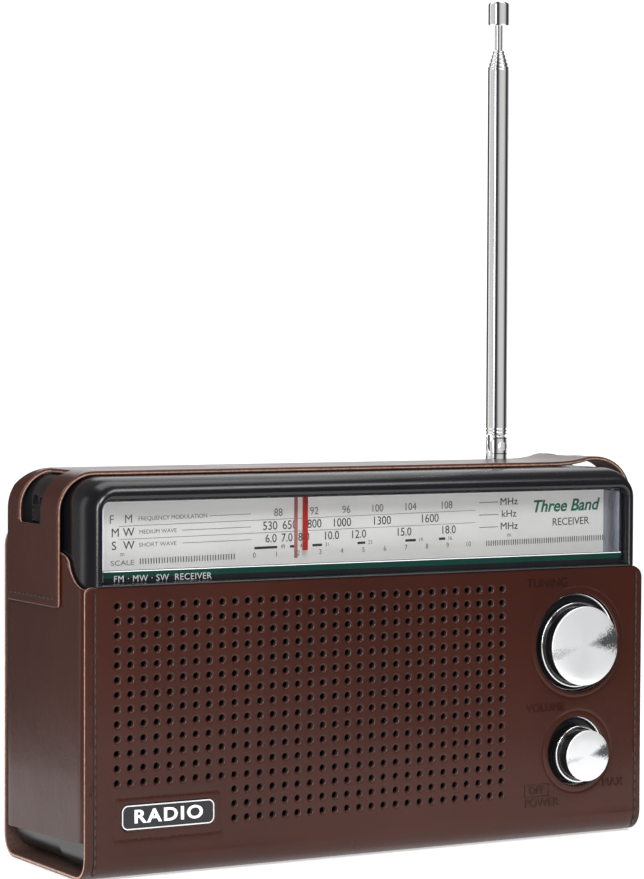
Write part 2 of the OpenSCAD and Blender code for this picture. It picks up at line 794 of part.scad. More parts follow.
module antenna_tube_1() {
    low = tube_z0 + 3;
    color("#dadde0") at_antenna() difference() {
        union() {
            translate([0, 0, tube_z0]) cylinder(r = tube_r, h = tube_len);
            intersection() {
                union() {
                    rod_y(0, pin_z, 2.9, -1.15, 1.15);
                    translate([-2.9, -1.15, pin_z]) cube([5.8, 2.3, 5]);
                }
                translate([0, 0, pin_z - 4]) cylinder(r = tube_r, h = 10);
            }
        }
        translate([0, 0, low]) cylinder(r = tube_r - stage_wall, h = tube_len);
        rod_y(0, pin_z, 1.06, -5, 5);
    }
}

module antenna_tube_2() {
    stage(2);
}

module antenna_tube_3() {
    stage(3);
}

module antenna_tube_4() {
    stage(4);
}

module antenna_tube_5() {
    stage(5);
}

module antenna_rod() {
    low = tube_z0 + 3 + rod_out;
    color("#dadde0") at_antenna() translate([0, 0, low]) cylinder(r = rod_r, h = tip_z0 - low);
}

module antenna_tip() {
    color("#dadde0") at_antenna() translate([0, 0, tip_z0]) {
        cylinder(r = tube_r - 0.6, h = 0.8);
        translate([0, 0, 0.8]) cylinder(r = tube_r, h = tip_len - 2);
        translate([0, 0, tip_len - 1.2]) cylinder(r = tube_r - 0.7, h = 1.2);
    }
}

case_front();
case_base();
case_back_flap();
case_gusset(-1);  // case_gusset_left
case_gusset(1);  // case_gusset_right
case_strap();
press_stud_caps();
press_stud_posts();
front_cabinet();
rear_cabinet();
battery_cover();
cabinet_screws();
badge_plate();
dial_lens();
dial_scale();
dial_pointer();
pointer_rail();
tuning_knob();
tuning_knob_cap();
tuning_shaft();
tuning_bush();
dial_drum();
drum_shaft();
tuning_capacitor();
cord_pulleys();
dial_cord();
volume_knob();
volume_knob_cap();
volume_shaft();
volume_control();
speaker_basket();
speaker_cone();
speaker_magnet();
speaker_screws();
circuit_board();
board_coils();
band_switch();
band_selector();
ferrite_rod();
ferrite_coil();
ferrite_holders();
battery_tray();
batteries();
battery_springs();
battery_contacts();
earphone_jack();
antenna_collar();
antenna_swivel();
antenna_pin();
antenna_tube_1();
antenna_tube_2();
antenna_tube_3();
antenna_tube_4();
antenna_tube_5();
antenna_rod();
antenna_tip();
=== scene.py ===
"""Looks of a three-band portable radio in a fitted leather case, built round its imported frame.

Every length is in metres and every piece stands in the row's own frame: +X to the right seen from
the front, +Y to the back, +Z up. Sizes that the frame already holds are read from its nodes.
"""

import logging
import math
from dataclasses import dataclass, field
from enum import Enum
from typing import Callable, Sequence

import bmesh
import bpy
import numpy as np
from mathutils import Matrix, Vector
from mathutils.geometry import delaunay_2d_cdt


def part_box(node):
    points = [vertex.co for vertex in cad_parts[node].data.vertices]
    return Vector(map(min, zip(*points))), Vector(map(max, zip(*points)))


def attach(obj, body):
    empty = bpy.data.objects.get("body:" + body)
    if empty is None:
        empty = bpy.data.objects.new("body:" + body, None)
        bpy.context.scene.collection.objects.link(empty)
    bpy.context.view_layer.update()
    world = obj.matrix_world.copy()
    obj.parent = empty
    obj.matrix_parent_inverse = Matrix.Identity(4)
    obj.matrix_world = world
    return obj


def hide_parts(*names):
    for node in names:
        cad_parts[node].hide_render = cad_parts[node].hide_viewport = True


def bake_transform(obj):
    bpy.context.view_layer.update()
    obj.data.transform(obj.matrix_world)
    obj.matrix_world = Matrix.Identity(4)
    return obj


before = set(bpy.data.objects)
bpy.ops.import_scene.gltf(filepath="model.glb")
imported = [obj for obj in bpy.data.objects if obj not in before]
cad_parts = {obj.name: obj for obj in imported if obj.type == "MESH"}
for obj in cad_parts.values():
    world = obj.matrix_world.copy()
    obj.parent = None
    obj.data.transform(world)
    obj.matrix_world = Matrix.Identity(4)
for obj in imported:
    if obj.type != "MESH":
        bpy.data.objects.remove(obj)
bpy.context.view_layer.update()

LOG = logging.getLogger("radio")
MM = 0.001
KNOB_X = 0.0788
TUNING_Z = 0.0654
VOLUME_Z = 0.0284
HOLE_RISE = 0.0008  # the leather's knob holes stand this much above the knobs
BADGE_CORNER = 0.002
CAPITAL_HEIGHT = 0.7  # of the type's size
Place = Callable[[np.ndarray, np.ndarray, np.ndarray], np.ndarray]
Stitches = tuple[np.ndarray, np.ndarray, np.ndarray]


# ---------------------------------------------------------------------------
# Materials
# ---------------------------------------------------------------------------


class NodeSheet:
    """A new node material with short calls for adding and joining its nodes."""

    def __init__(self, name: str) -> None:
        """Starts the material with a Principled shader joined to its output.

        Args:
            name: Name of the material.
        """
        self.material = bpy.data.materials.new(name)
        self.material.use_nodes = True
        self.tree = self.material.node_tree
        self.tree.nodes.clear()
        self.output = self.tree.nodes.new("ShaderNodeOutputMaterial")
        self.shader = self.tree.nodes.new("ShaderNodeBsdfPrincipled")
        self.join(self.shader, "BSDF", self.output, "Surface")
        self.coords = self.tree.nodes.new("ShaderNodeTexCoord")

    def join(self, source: bpy.types.Node, out: str, target: bpy.types.Node, into: str) -> None:
        """Joins one node's output to another node's input, both by name."""
        self.tree.links.new(source.outputs[out], target.inputs[into])

    def set(self, **values: object) -> None:
        """Sets sockets of the shader; an underscore in a name stands for a space."""
        for name, value in values.items():
            self.shader.inputs[name.replace("_", " ")].default_value = value

    def mapped(self, scale: Sequence[float]) -> bpy.types.Node:
        """Object coordinates times scale along each axis, as a Mapping node."""
        node = self.tree.nodes.new("ShaderNodeMapping")
        node.inputs["Scale"].default_value = scale
        self.join(self.coords, "Object", node, "Vector")
        return node

    def number(self, operation: str, *inputs: object) -> tuple[bpy.types.Node, str]:
        """The (node, output) pair of a new Math node, whose inputs are numbers or such pairs."""
        node = self.tree.nodes.new("ShaderNodeMath")
        node.operation = operation
        for index, value in enumerate(inputs):
            if isinstance(value, tuple):
                self.tree.links.new(value[0].outputs[value[1]], node.inputs[index])
            else:
                node.inputs[index].default_value = value
        return node, "Value"

    def noise(self, scale: float, detail: float, stretch: Sequence[float] = (1, 1, 1)) -> bpy.types.Node:
        """A noise texture on object coordinates.

        Args:
            scale: Features per metre.
            detail: Number of octaves.
            stretch: Extra scale along X, Y and Z.

        Returns:
            The texture node, whose Fac output carries the pattern.
        """
        node = self.tree.nodes.new("ShaderNodeTexNoise")
        node.inputs["Scale"].default_value = scale
        node.inputs["Detail"].default_value = detail
        self.join(self.mapped(stretch), "Vector", node, "Vector")
        return node

    def cells(self, scale: float) -> bpy.types.Node:
        """The distance to the edges of Voronoi cells, with that many cells to a metre."""
        node = self.tree.nodes.new("ShaderNodeTexVoronoi")
        node.feature = "DISTANCE_TO_EDGE"
        node.inputs["Scale"].default_value = scale
        self.join(self.coords, "Object", node, "Vector")
        return node

    def paint(self, source: bpy.types.Node, out: str,
              stops: Sequence[tuple[float, Sequence[float]]]) -> bpy.types.Node:
        """Colours the shader by a ramp fed by one output, with stops of (place, colour)."""
        node = self.tree.nodes.new("ShaderNodeValToRGB")
        while len(node.color_ramp.elements) < len(stops):
            node.color_ramp.elements.new(0.5)
        for element, (place, colour) in zip(node.color_ramp.elements, stops):
            element.position = place
            element.color = (*colour, 1)
        self.join(source, out, node, "Fac")
        self.join(node, "Color", self.shader, "Base Color")
        return node

    def spread(self, source: bpy.types.Node, out: str, low: float, high: float) -> bpy.types.Node:
        """Maps an output's 0 to 1 onto low to high."""
        node = self.tree.nodes.new("ShaderNodeMapRange")
        node.inputs["To Min"].default_value = low
        node.inputs["To Max"].default_value = high
        self.join(source, out, node, "Value")
        return node

    def roughen(self, source: bpy.types.Node, low: float, high: float) -> None:
        """Lets a noise's 0 to 1 move the roughness from low to high."""
        self.join(self.spread(source, "Fac", low, high), "Result", self.shader, "Roughness")

    def bump(self, layers: Sequence[tuple[bpy.types.Node, str, float]]) -> None:
        """Chains bump layers into the shader's normal.

        Args:
            layers: (node, output, height in metres) for each layer, broad ones first.
        """
        last = None
        for source, out, height in layers:
            node = self.tree.nodes.new("ShaderNodeBump")
            node.inputs["Strength"].default_value = 1.0
            node.inputs["Distance"].default_value = height
            self.join(source, out, node, "Height")
            if last is not None:
                self.join(last, "Normal", node, "Normal")
            last = node
        self.join(last, "Normal", self.shader, "Normal")


@dataclass(frozen=True)
class LeatherFinish:
    """Glazed cowhide: dark pits between fine cells, faint wrinkles and a waxed gloss."""

    name: str
    dark: tuple[float, float, float]
    mid: tuple[float, float, float]
    light: tuple[float, float, float]
    roughness: float = 0.29
    coat: float = 0.16

    def build(self) -> bpy.types.Material:
        """Returns the node material."""
        sheet = NodeSheet(self.name)
        sheet.set(Coat_Weight=self.coat, Coat_Roughness=0.14, Specular_IOR_Level=0.22)
        sheet.paint(sheet.noise(16, 6), "Fac", [(0.28, self.dark), (0.52, self.mid), (0.78, self.light)])
        smears = sheet.noise(70, 5, (1, 1, 0.35))
        sheet.roughen(smears, self.roughness - 0.07, self.roughness + 0.1)
        swell, crease, pore = 0.00035, 0.00006, 0.00005
        sheet.bump([(sheet.noise(34, 2), "Fac", swell), (sheet.noise(420, 6), "Fac", crease),
                    (sheet.cells(1500), "Distance", pore)])
        return sheet.material


@dataclass(frozen=True)
class RawEdgeFinish:
    """The cut edge of a hide: pale fibres in thin layers along the cut."""

    name: str
    pale: tuple[float, float, float]
    deep: tuple[float, float, float]

    def build(self) -> bpy.types.Material:
        """Returns the node material."""
        sheet = NodeSheet(self.name)
        sheet.set(Roughness=0.75)
        sheet.paint(sheet.noise(900, 8), "Fac", [(0.3, self.deep), (0.7, self.pale)])
        sheet.bump([(sheet.noise(2400, 4), "Fac", 0.0001)])
        return sheet.material


@dataclass(frozen=True)
class PlasticFinish:
    """Moulded plastic with a faint mottle, dust and, if rough, a spark-eroded texture; it may also glow with
    painted light.
    """

    name: str
    colour: tuple[float, float, float]
    roughness: float = 0.2
    texture: float = 0.0
    coat: float = 0.0
    spread: float = 0.05
    painted_glow: float = 0.0

    def build(self) -> bpy.types.Material:
        """Returns the node material."""
        sheet = NodeSheet(self.name)
        sheet.set(Coat_Weight=self.coat, Coat_Roughness=0.05)
        sheet.set(Emission_Color=(1, 1, 0.985, 1), Emission_Strength=self.painted_glow)
        lighter = tuple(min(1.0, c * 1.25 + 0.002) for c in self.colour)
        sheet.paint(sheet.noise(45, 4), "Fac", [(0.3, self.colour), (0.8, lighter)])
        smoothest = max(0.02, self.roughness - self.spread)
        sheet.roughen(sheet.noise(260, 6), smoothest, self.roughness + self.spread)
        layers = [(sheet.noise(60, 2), "Fac", 0.00002)]
        if self.texture > 0:
            layers.append((sheet.noise(3200, 3), "Fac", self.texture))
        sheet.bump(layers)
        return sheet.material


@dataclass(frozen=True)
class MetalFinish:
    """Bare or plated metal with fine scratches that run along one axis."""

    name: str
    colour: tuple[float, float, float]
    roughness: float = 0.12
    stretch: tuple[float, float, float] = (1, 1, 1)
    scratch: float = 0.000002

    def build(self) -> bpy.types.Material:
        """Returns the node material."""
        sheet = NodeSheet(self.name)
        sheet.set(Metallic=1.0)
        darker = tuple(c * 0.92 for c in self.colour)
        sheet.paint(sheet.noise(90, 3), "Fac", [(0.35, darker), (0.7, self.colour)])
        lines = sheet.noise(1800, 5, self.stretch)
        sheet.roughen(lines, self.roughness - 0.05, self.roughness + 0.05)
        sheet.bump([(lines, "Fac", self.scratch)])
        return sheet.material


@dataclass(frozen=True)
class ChromeFinish:
    """Bright plating on a thin upright tube, with painted reflections: soft light and dark bands that run
    along it, also glowing.
    """

    name: str
    axis: tuple[float, float]
    bands: int = 6
    heading: float = math.radians(-100)
    bright: float = 0.62

    def build(self) -> bpy.types.Material:
        """Returns the node material: the painted reflection bands are a cosine of the angle round the tube's
        axis.
        """
        sheet = NodeSheet(self.name)
        sheet.set(Metallic=1.0, Roughness=0.12)
        parts = sheet.tree.nodes.new("ShaderNodeSeparateXYZ")
        sheet.join(sheet.coords, "Object", parts, "Vector")
        x = sheet.number("SUBTRACT", (parts, "X"), self.axis[0])
        y = sheet.number("SUBTRACT", (parts, "Y"), self.axis[1])
        angle = sheet.number("SUBTRACT", sheet.number("ARCTAN2", y, x), self.heading)
        wave = sheet.number("COSINE", sheet.number("MULTIPLY", angle, self.bands))
        level = sheet.number("MULTIPLY_ADD", wave, 0.5, 0.5)
        # Painted reflections: the bands set the base colour and a glow of the same colour.
        dark, grey, bright = (0.045, 0.045, 0.05), (0.5, 0.5, 0.5), (0.8, 0.8, 0.79)
        painted_reflection = sheet.paint(*level, [(0.1, dark), (0.38, grey), (0.8, bright)])
        sheet.join(painted_reflection, "Color", sheet.shader, "Emission Color")
        sheet.set(Emission_Strength=self.bright)
        return sheet.material


@dataclass(frozen=True)
class SpunFinish:
    """A lathe-turned face: fine rings about the knob's own axis and two dark fans of painted shade."""

    name: str
    colour: tuple[float, float, float]
    centre: tuple[float, float, float]
    radius: float
    shade_fan_turn: float = 0.16
    ring_pitch: float = 0.00022

    def build(self) -> bpy.types.Material:
        """Returns the node material.

        The rings are noise of the distance from the axis. Painted shade darkens the turned face in two fans,
        standing in for the dark streaks of its brushed highlight; the fans open outwards along the level
        line: the fan's depth falls smoothly with the angle from it.
        """
        sheet = NodeSheet(self.name)
        sheet.set(Metallic=0.55, Anisotropic=0.7)
        shift = sheet.tree.nodes.new("ShaderNodeMapping")
        shift.inputs["Location"].default_value = tuple(-c for c in self.centre)
        sheet.join(sheet.coords, "Object", shift, "Vector")
        parts = sheet.tree.nodes.new("ShaderNodeSeparateXYZ")
        sheet.join(shift, "Vector", parts, "Vector")
        x, z = (parts, "X"), (parts, "Z")
        squares = [sheet.number("MULTIPLY", axis, axis) for axis in (x, z)]
        distance = sheet.number("SQRT", sheet.number("ADD", *squares))
        rings = sheet.tree.nodes.new("ShaderNodeTexNoise")
        rings.noise_dimensions = "1D"
        rings.inputs["Scale"].default_value = 1.0
        rings.inputs["Detail"].default_value = 3.0
        sheet.join(*sheet.number("MULTIPLY", distance, 1 / self.ring_pitch), rings, "W")
        angle = sheet.number("ARCTAN2", z, x)
        jitter = sheet.number("MULTIPLY_ADD", (sheet.noise(2600, 4), "Fac"), 0.9, -0.45)
        growth = sheet.number("MULTIPLY", distance, 0.62 / self.radius)
        opposite = self.shade_fan_turn - math.pi + 0.05
        painted_shade_fans = []
        for heading, width, depth in ((self.shade_fan_turn, 0.46, 2.4), (opposite, 0.2, 0.6)):
            away = sheet.number("ABSOLUTE", sheet.number("SUBTRACT", angle, heading))
            shade_fan = sheet.spread(*sheet.number("ADD", away, jitter), depth, 0.0)
            shade_fan.interpolation_type = "SMOOTHSTEP"
            shade_fan.inputs["From Max"].default_value = width
            painted_shade_fans.append(sheet.number("MULTIPLY", (shade_fan, "Result"), growth))
        # Painted shade: the fans darken the face's colour down towards a tenth of it.
        dark = tuple(c * 0.1 for c in self.colour)
        sheet.paint(*sheet.number("MAXIMUM", *painted_shade_fans), [(0.0, self.colour), (0.75, dark)])
        sheet.roughen(rings, 0.27, 0.3)
        tangent = sheet.tree.nodes.new("ShaderNodeTangent")
        tangent.direction_type = "RADIAL"
        tangent.axis = "Y"
        sheet.join(tangent, "Tangent", sheet.shader, "Tangent")
        sheet.bump([(rings, "Fac", 0.0000004)])
        return sheet.material


@dataclass(frozen=True)
class ClearFinish:
    """Clear acrylic that lets light straight through and mirrors at its surface."""

    name: str
    tint: tuple[float, float, float] = (0.99, 0.99, 0.99)

    def build(self) -> bpy.types.Material:
        """Returns the node material: a gloss over a clear body, mixed by Fresnel."""
        sheet = NodeSheet(self.name)
        clear = sheet.tree.nodes.new("ShaderNodeBsdfTransparent")
        clear.inputs["Color"].default_value = (*self.tint, 1)
        gloss = sheet.tree.nodes.new("ShaderNodeBsdfGlossy")
        gloss.inputs["Roughness"].default_value = 0.02
        gloss.inputs["Color"].default_value = (1, 1, 1, 1)
        fresnel = sheet.tree.nodes.new("ShaderNodeFresnel")
        fresnel.inputs["IOR"].default_value = 1.45
        mix = sheet.tree.nodes.new("ShaderNodeMixShader")
        sheet.join(fresnel, "Fac", mix, "Fac")
        sheet.tree.links.new(clear.outputs["BSDF"], mix.inputs[1])
        sheet.tree.links.new(gloss.outputs["BSDF"], mix.inputs[2])
        sheet.join(mix, "Shader", sheet.output, "Surface")
        sheet.tree.nodes.remove(sheet.shader)
        return sheet.material


class Look(Enum):
    """Every finish on the radio, by the part of it that wears it."""

    LEATHER = LeatherFinish("glazed_leather", (0.029, 0.0072, 0.0042), (0.036, 0.0092, 0.0055),
                            (0.044, 0.0120, 0.0074))
    STRAP = LeatherFinish("strap_leather", (0.033, 0.0082, 0.0048), (0.041, 0.0106, 0.0064),
                          (0.050, 0.0136, 0.0084), coat=0.15)
    RAW_EDGE = RawEdgeFinish("raw_leather_edge", (0.5, 0.33, 0.25), (0.28, 0.15, 0.1))
    CUT_EDGE = RawEdgeFinish("stained_leather_edge", (0.15, 0.055, 0.036), (0.06, 0.02, 0.013))
    FLESH = RawEdgeFinish("leather_flesh_side", (0.07, 0.03, 0.02), (0.035, 0.014, 0.009))
    THREAD = PlasticFinish("brown_thread", (0.035, 0.012, 0.008), 0.55)
    # Near-black painted shade for the inside of needle holes and punched holes.
    HOLE_SHADE = PlasticFinish("needle_hole", (0.006, 0.003, 0.0025), 0.8)
    EMBOSSED = LeatherFinish("embossed_leather", (0.02, 0.0062, 0.0044), (0.027, 0.0078, 0.0054),
                             (0.036, 0.0105, 0.007), roughness=0.24)
    GLOSS_BLACK = PlasticFinish("gloss_black", (0.004, 0.004, 0.0055), 0.24, spread=0.04)
    SATIN_BLACK = PlasticFinish("satin_black", (0.006, 0.006, 0.0075), 0.3, texture=0.00002)
    KNOB_BLACK = PlasticFinish("glossy_knob_black", (0.003, 0.003, 0.0036), 0.18, spread=0.03)
    # The scale plate's glow is painted light that brightens it down in its recess.
    SCALE_WHITE = PlasticFinish("scale_plate_white", (0.8, 0.8, 0.785), 0.3, painted_glow=0.24)
    PRINT_DARK = PlasticFinish("print_dark", (0.035, 0.035, 0.038), 0.5)
    PRINT_GREY = PlasticFinish("print_grey", (0.2, 0.21, 0.21), 0.5)
    CAPTION_GREY = PlasticFinish("caption_grey", (0.34, 0.35, 0.35), 0.4)
    # A pink painted shadow of the red needle, laid on the scale plate.
    NEEDLE_SHADOW = PlasticFinish("needle_ghost", (0.6, 0.28, 0.28), 0.4)
    # The dial's end walls are grey-blue as painted reflection of the clear lens's side walls.
    END_WALL_REFLECTION = PlasticFinish("end_panel", (0.42, 0.44, 0.52), 0.2)
    # Painted light along the lens's left edge: a glowing lilac painted highlight, and next to it a dark strip
    # of painted shade.
    LENS_EDGE_HIGHLIGHT = PlasticFinish("lens_edge", (0.62, 0.6, 0.78), 0.15, painted_glow=0.1)
    LENS_SHADE = PlasticFinish("lens_shade", (0.05, 0.042, 0.1), 0.15)
    PRINT_GREEN = PlasticFinish("print_green", (0.0, 0.24, 0.16), 0.4)
    PRINT_WHITE = PlasticFinish("print_white", (0.75, 0.77, 0.78), 0.4)
    BAND_GREEN = PlasticFinish("band_green", (0.004, 0.03, 0.022), 0.2)
    BAND_BLACK = PlasticFinish("band_black", (0.008, 0.008, 0.01), 0.2)
    NEEDLE_RED = PlasticFinish("needle_red", (0.62, 0.018, 0.022), 0.25, coat=0.4)
    CLEAR = ClearFinish("clear_acrylic")
    CHROME = ChromeFinish("antenna_chrome_painted_reflections", (0.0806, 0.0228))
    SILVER_LINE = MetalFinish("silver_line", (0.86, 0.86, 0.87), 0.2)
    STEEL = MetalFinish("zinc_steel", (0.56, 0.57, 0.58), 0.3, (1, 1, 0.2))
    BRASS = MetalFinish("aged_brass", (0.36, 0.25, 0.12), 0.34)
    COPPER = MetalFinish("copper_winding", (0.5, 0.22, 0.08), 0.35, (12, 0.2, 0.2), 0.00003)
    NYLON = PlasticFinish("natural_nylon", (0.62, 0.58, 0.46), 0.42)
    CORD = PlasticFinish("waxed_cord", (0.72, 0.66, 0.5), 0.6)
    PAPER_CONE = PlasticFinish("paper_cone", (0.02, 0.018, 0.016), 0.8, texture=0.00006)
    BOARD = PlasticFinish("phenolic_board", (0.12, 0.15, 0.045), 0.35)
    FERRITE = PlasticFinish("sintered_ferrite", (0.03, 0.03, 0.032), 0.5, texture=0.00002)
    CELL = PlasticFinish("cell_jacket_red", (0.42, 0.04, 0.03), 0.25)

    def material(self) -> bpy.types.Material:
        """Returns the finish's material, made on first use."""
        made = bpy.data.materials.get(self.value.name)
        return made if made is not None else self.value.build()


# ---------------------------------------------------------------------------
# Mesh work
# ---------------------------------------------------------------------------


class MeshPile:
    """Vertices and faces piled up from several surfaces, then put into one mesh."""

    def __init__(self) -> None:
        """Starts empty."""
        self.points: list[np.ndarray] = []
        self.faces: list[np.ndarray] = []
        self.marks: list[np.ndarray] = []
        self.count = 0

    def add(self, points: np.ndarray, faces: np.ndarray, mark: int = 0) -> None:
        """Adds one surface.

        Args:
            points: Its vertices, one row of three each.
            faces: Its faces as rows of 3 or 4 vertex numbers.
            mark: Which of the piece's materials it wears.
        """
        self.points.append(np.asarray(points, float).reshape(-1, 3))
        self.faces.append(np.asarray(faces, int) + self.count)
        self.marks.append(np.full(len(faces), mark))
        self.count += len(self.points[-1])

    def grid(self, points: np.ndarray, mark: int = 0, close_rows: bool = False,
             close_cols: bool = False) -> None:
        """Adds a surface given as a rows by columns grid of points, as quads between neighbours."""
        rows, cols = points.shape[:2]
        r = np.arange(rows if close_rows else rows - 1)
        c = np.arange(cols if close_cols else cols - 1)
        r0, c0 = (a.ravel() for a in np.meshgrid(r, c, indexing="ij"))
        r1, c1 = (r0 + 1) % rows, (c0 + 1) % cols
        quads = np.stack([r0 * cols + c0, r0 * cols + c1, r1 * cols + c1, r1 * cols + c0], axis=1)
        self.add(points, quads, mark)

    def piece(self, name: str, looks: Sequence[Look], weld: float = 1e-6,
              flat_angle: float = 40.0) -> bpy.types.Object:
        """Puts everything added into one object at the origin.

        Args:
            name: Name of the object.
            looks: Its materials, in the order of the marks.
            weld: Vertices closer than this are merged.
            flat_angle: Edges sharper than this many degrees stay sharp.

        Returns:
            The new object.
        """
        mesh = bpy.data.meshes.new(name)
        faces = [face for block in self.faces for face in block.tolist()]
        mesh.from_pydata(np.concatenate(self.points).tolist(), [], faces)
        mesh.polygons.foreach_set("material_index", np.concatenate(self.marks).astype(np.int32))
        for look in looks:
            mesh.materials.append(look.material())
        tidy_mesh(mesh, weld, flat_angle)
        return in_scene(name, mesh)


def in_scene(name: str, data: bpy.types.ID) -> bpy.types.Object:
    """Links a new object that shows the data to the scene."""
    shown = bpy.data.objects.new(name, data)
    bpy.context.scene.collection.objects.link(shown)
    return shown


def tidy_mesh(mesh: bpy.types.Mesh, weld: float, flat_angle: float) -> None:
    """Merges doubles, points the faces outwards and marks sharp edges.

    Args:
        mesh: The mesh to change.
        weld: Vertices closer than this are merged.
        flat_angle: Edges sharper than this many degrees stay sharp.
    """
    work = bmesh.new()
    work.from_mesh(mesh)
    bmesh.ops.remove_doubles(work, verts=work.verts, dist=weld)
    bmesh.ops.dissolve_degenerate(work, edges=work.edges, dist=weld)
    bmesh.ops.recalc_face_normals(work, faces=work.faces)
    for face in work.faces:
        face.smooth = True
    limit = math.radians(flat_angle)
    for edge in work.edges:
        edge.smooth = not (len(edge.link_faces) == 2 and edge.calc_face_angle(0.0) > limit)
    work.to_mesh(mesh)
    work.free()


def ring_around(centre: Sequence[float], radius: float, count: int) -> np.ndarray:
    """Points of a circle in the plane, anticlockwise: centre plus radius times (cos, sin)."""
    angle = np.arange(count) * 2 * math.pi / count
    return np.stack([centre[0] + radius * np.cos(angle), centre[1] + radius * np.sin(angle)], axis=1)


def rounded(corners: Sequence[tuple[float, float, float]], steps: int) -> np.ndarray:
    """A closed outline with round corners.

    Each corner is replaced by an arc that touches both of its sides: the arc's centre lies on the
    corner's bisector, and its ends lie radius / tan(half angle) from the corner.

    Args:
        corners: (x, y, radius) of each corner, anticlockwise.
        steps: Segments in each arc.

    Returns:
        The outline's points.
    """
    points = []
    spots = np.array([c[:2] for c in corners], float)
    for index, (x, y, radius) in enumerate(corners):
        here = spots[index]
        before = spots[index - 1] - here
        after = spots[(index + 1) % len(spots)] - here
        if radius <= 0:
            points.append(here[None])
            continue
        before /= np.linalg.norm(before)
        after /= np.linalg.norm(after)
        half = math.acos(np.clip(before @ after, -1, 1)) / 2
        middle = (before + after) / np.linalg.norm(before + after)
        centre = here + middle * radius / math.sin(half)
        first = here + before * radius / math.tan(half) - centre
        last = here + after * radius / math.tan(half) - centre
        a0 = math.atan2(first[1], first[0])
        turn = (math.atan2(last[1], last[0]) - a0 + math.pi) % (2 * math.pi) - math.pi
        angle = a0 + turn * np.linspace(0, 1, steps + 1)
        points.append(centre + radius * np.stack([np.cos(angle), np.sin(angle)], axis=1))
    return np.concatenate(points)


def rounded_box(x0: float, x1: float, z0: float, z1: float, radius: float, steps: int = 6,
                upper_radius: float | None = None) -> np.ndarray:
    """A rectangle's outline with round corners, the upper two of their own radius if it is given."""
    upper = radius if upper_radius is None else upper_radius
    return rounded([(x0, z0, radius), (x1, z0, radius), (x1, z1, upper), (x0, z1, upper)], steps)


def upright(outline: np.ndarray, y: float) -> np.ndarray:
    """Stands flat (X, Z) points up at one Y."""
    return np.stack([outline[:, 0], np.full(len(outline), y), outline[:, 1]], axis=1)


def resampled(outline: np.ndarray, longest: float) -> np.ndarray:
    """The closed outline with points added until no side is longer than longest."""
    following = np.roll(outline, -1, axis=0)
    pieces = []
    for start, end in zip(outline, following):
        count = max(1, math.ceil(np.linalg.norm(end - start) / longest))
        share = np.arange(count)[:, None] / count
        pieces.append(start + (end - start) * share)
    return np.concatenate(pieces)


def outset(outline: np.ndarray, distance: float) -> np.ndarray:
    """The closed anticlockwise outline moved outwards along its mitred corner normals."""
    forward = np.roll(outline, -1, axis=0) - outline
    forward /= np.linalg.norm(forward, axis=1)[:, None] + 1e-12
    normal = np.stack([forward[:, 1], -forward[:, 0]], axis=1)
    mitre = normal + np.roll(normal, 1, axis=0)
    mitre /= np.maximum(np.linalg.norm(mitre, axis=1), 0.4)[:, None]
    stretch = 1 / np.maximum(np.sum(mitre * normal, axis=1), 0.5)
    return outline + mitre * (distance * stretch)[:, None]


def inside(points: np.ndarray, outline: np.ndarray) -> np.ndarray:
    """True for the points inside a closed outline, by counting the sides a ray to the right crosses."""
    x, y = points[:, :1], points[:, 1:2]
    x0, y0 = outline[:, 0], outline[:, 1]
    x1, y1 = np.roll(x0, -1), np.roll(y0, -1)
    straddles = (y0 > y) != (y1 > y)
    cross = x0 + (y - y0) * (x1 - x0) / np.where(y1 == y0, 1e-12, y1 - y0)
    return np.sum(straddles & (x < cross), axis=1) % 2 == 1


def filled(outline: np.ndarray, holes: Sequence[np.ndarray],
           loose: np.ndarray | None = None) -> tuple[np.ndarray, np.ndarray]:
    """Triangles that fill an outline round its holes, by constrained Delaunay triangulation.

    Args:
        outline: The closed outer boundary, anticlockwise.
        holes: Closed inner boundaries.
        loose: Further points to use inside.

    Returns:
        The points, and the triangles as rows of three point numbers, anticlockwise.
    """
    points: list[np.ndarray] = []
    edges: list[tuple[int, int]] = []
    count = 0
    for loop in [outline, *holes]:
        size = len(loop)
        edges.extend((count + i, count + (i + 1) % size) for i in range(size))
        points.append(loop)
        count += size
    if loose is not None:
        keep = inside(loose, outset(outline, -0.0006))
        for hole in holes:
            keep &= ~inside(loose, outset(hole, 0.0004))
        points.append(loose[keep])
    coords = [Vector(p) for p in (np.concatenate(points) / MM).tolist()]
    found = delaunay_2d_cdt(coords, edges, [], 0, 1e-5)
    spots = np.array([tuple(v) for v in found[0]]) * MM
    triangles = np.array(found[2], int)
    middle = spots[triangles].mean(axis=1)
    keep = inside(middle, outline)
    for hole in holes:
        low, high = hole.min(axis=0), hole.max(axis=0)
        near = np.nonzero(np.all((middle > low) & (middle < high), axis=1))[0]
        keep[near[inside(middle[near], hole)]] = False
    triangles = triangles[keep]
    a, b, c = (spots[triangles[:, i]] for i in range(3))
    area = (b[:, 0] - a[:, 0]) * (c[:, 1] - a[:, 1]) - (b[:, 1] - a[:, 1]) * (c[:, 0] - a[:, 0])
    triangles[area < 0] = triangles[area < 0][:, ::-1]
    return spots, triangles[np.abs(area) > 1e-14]


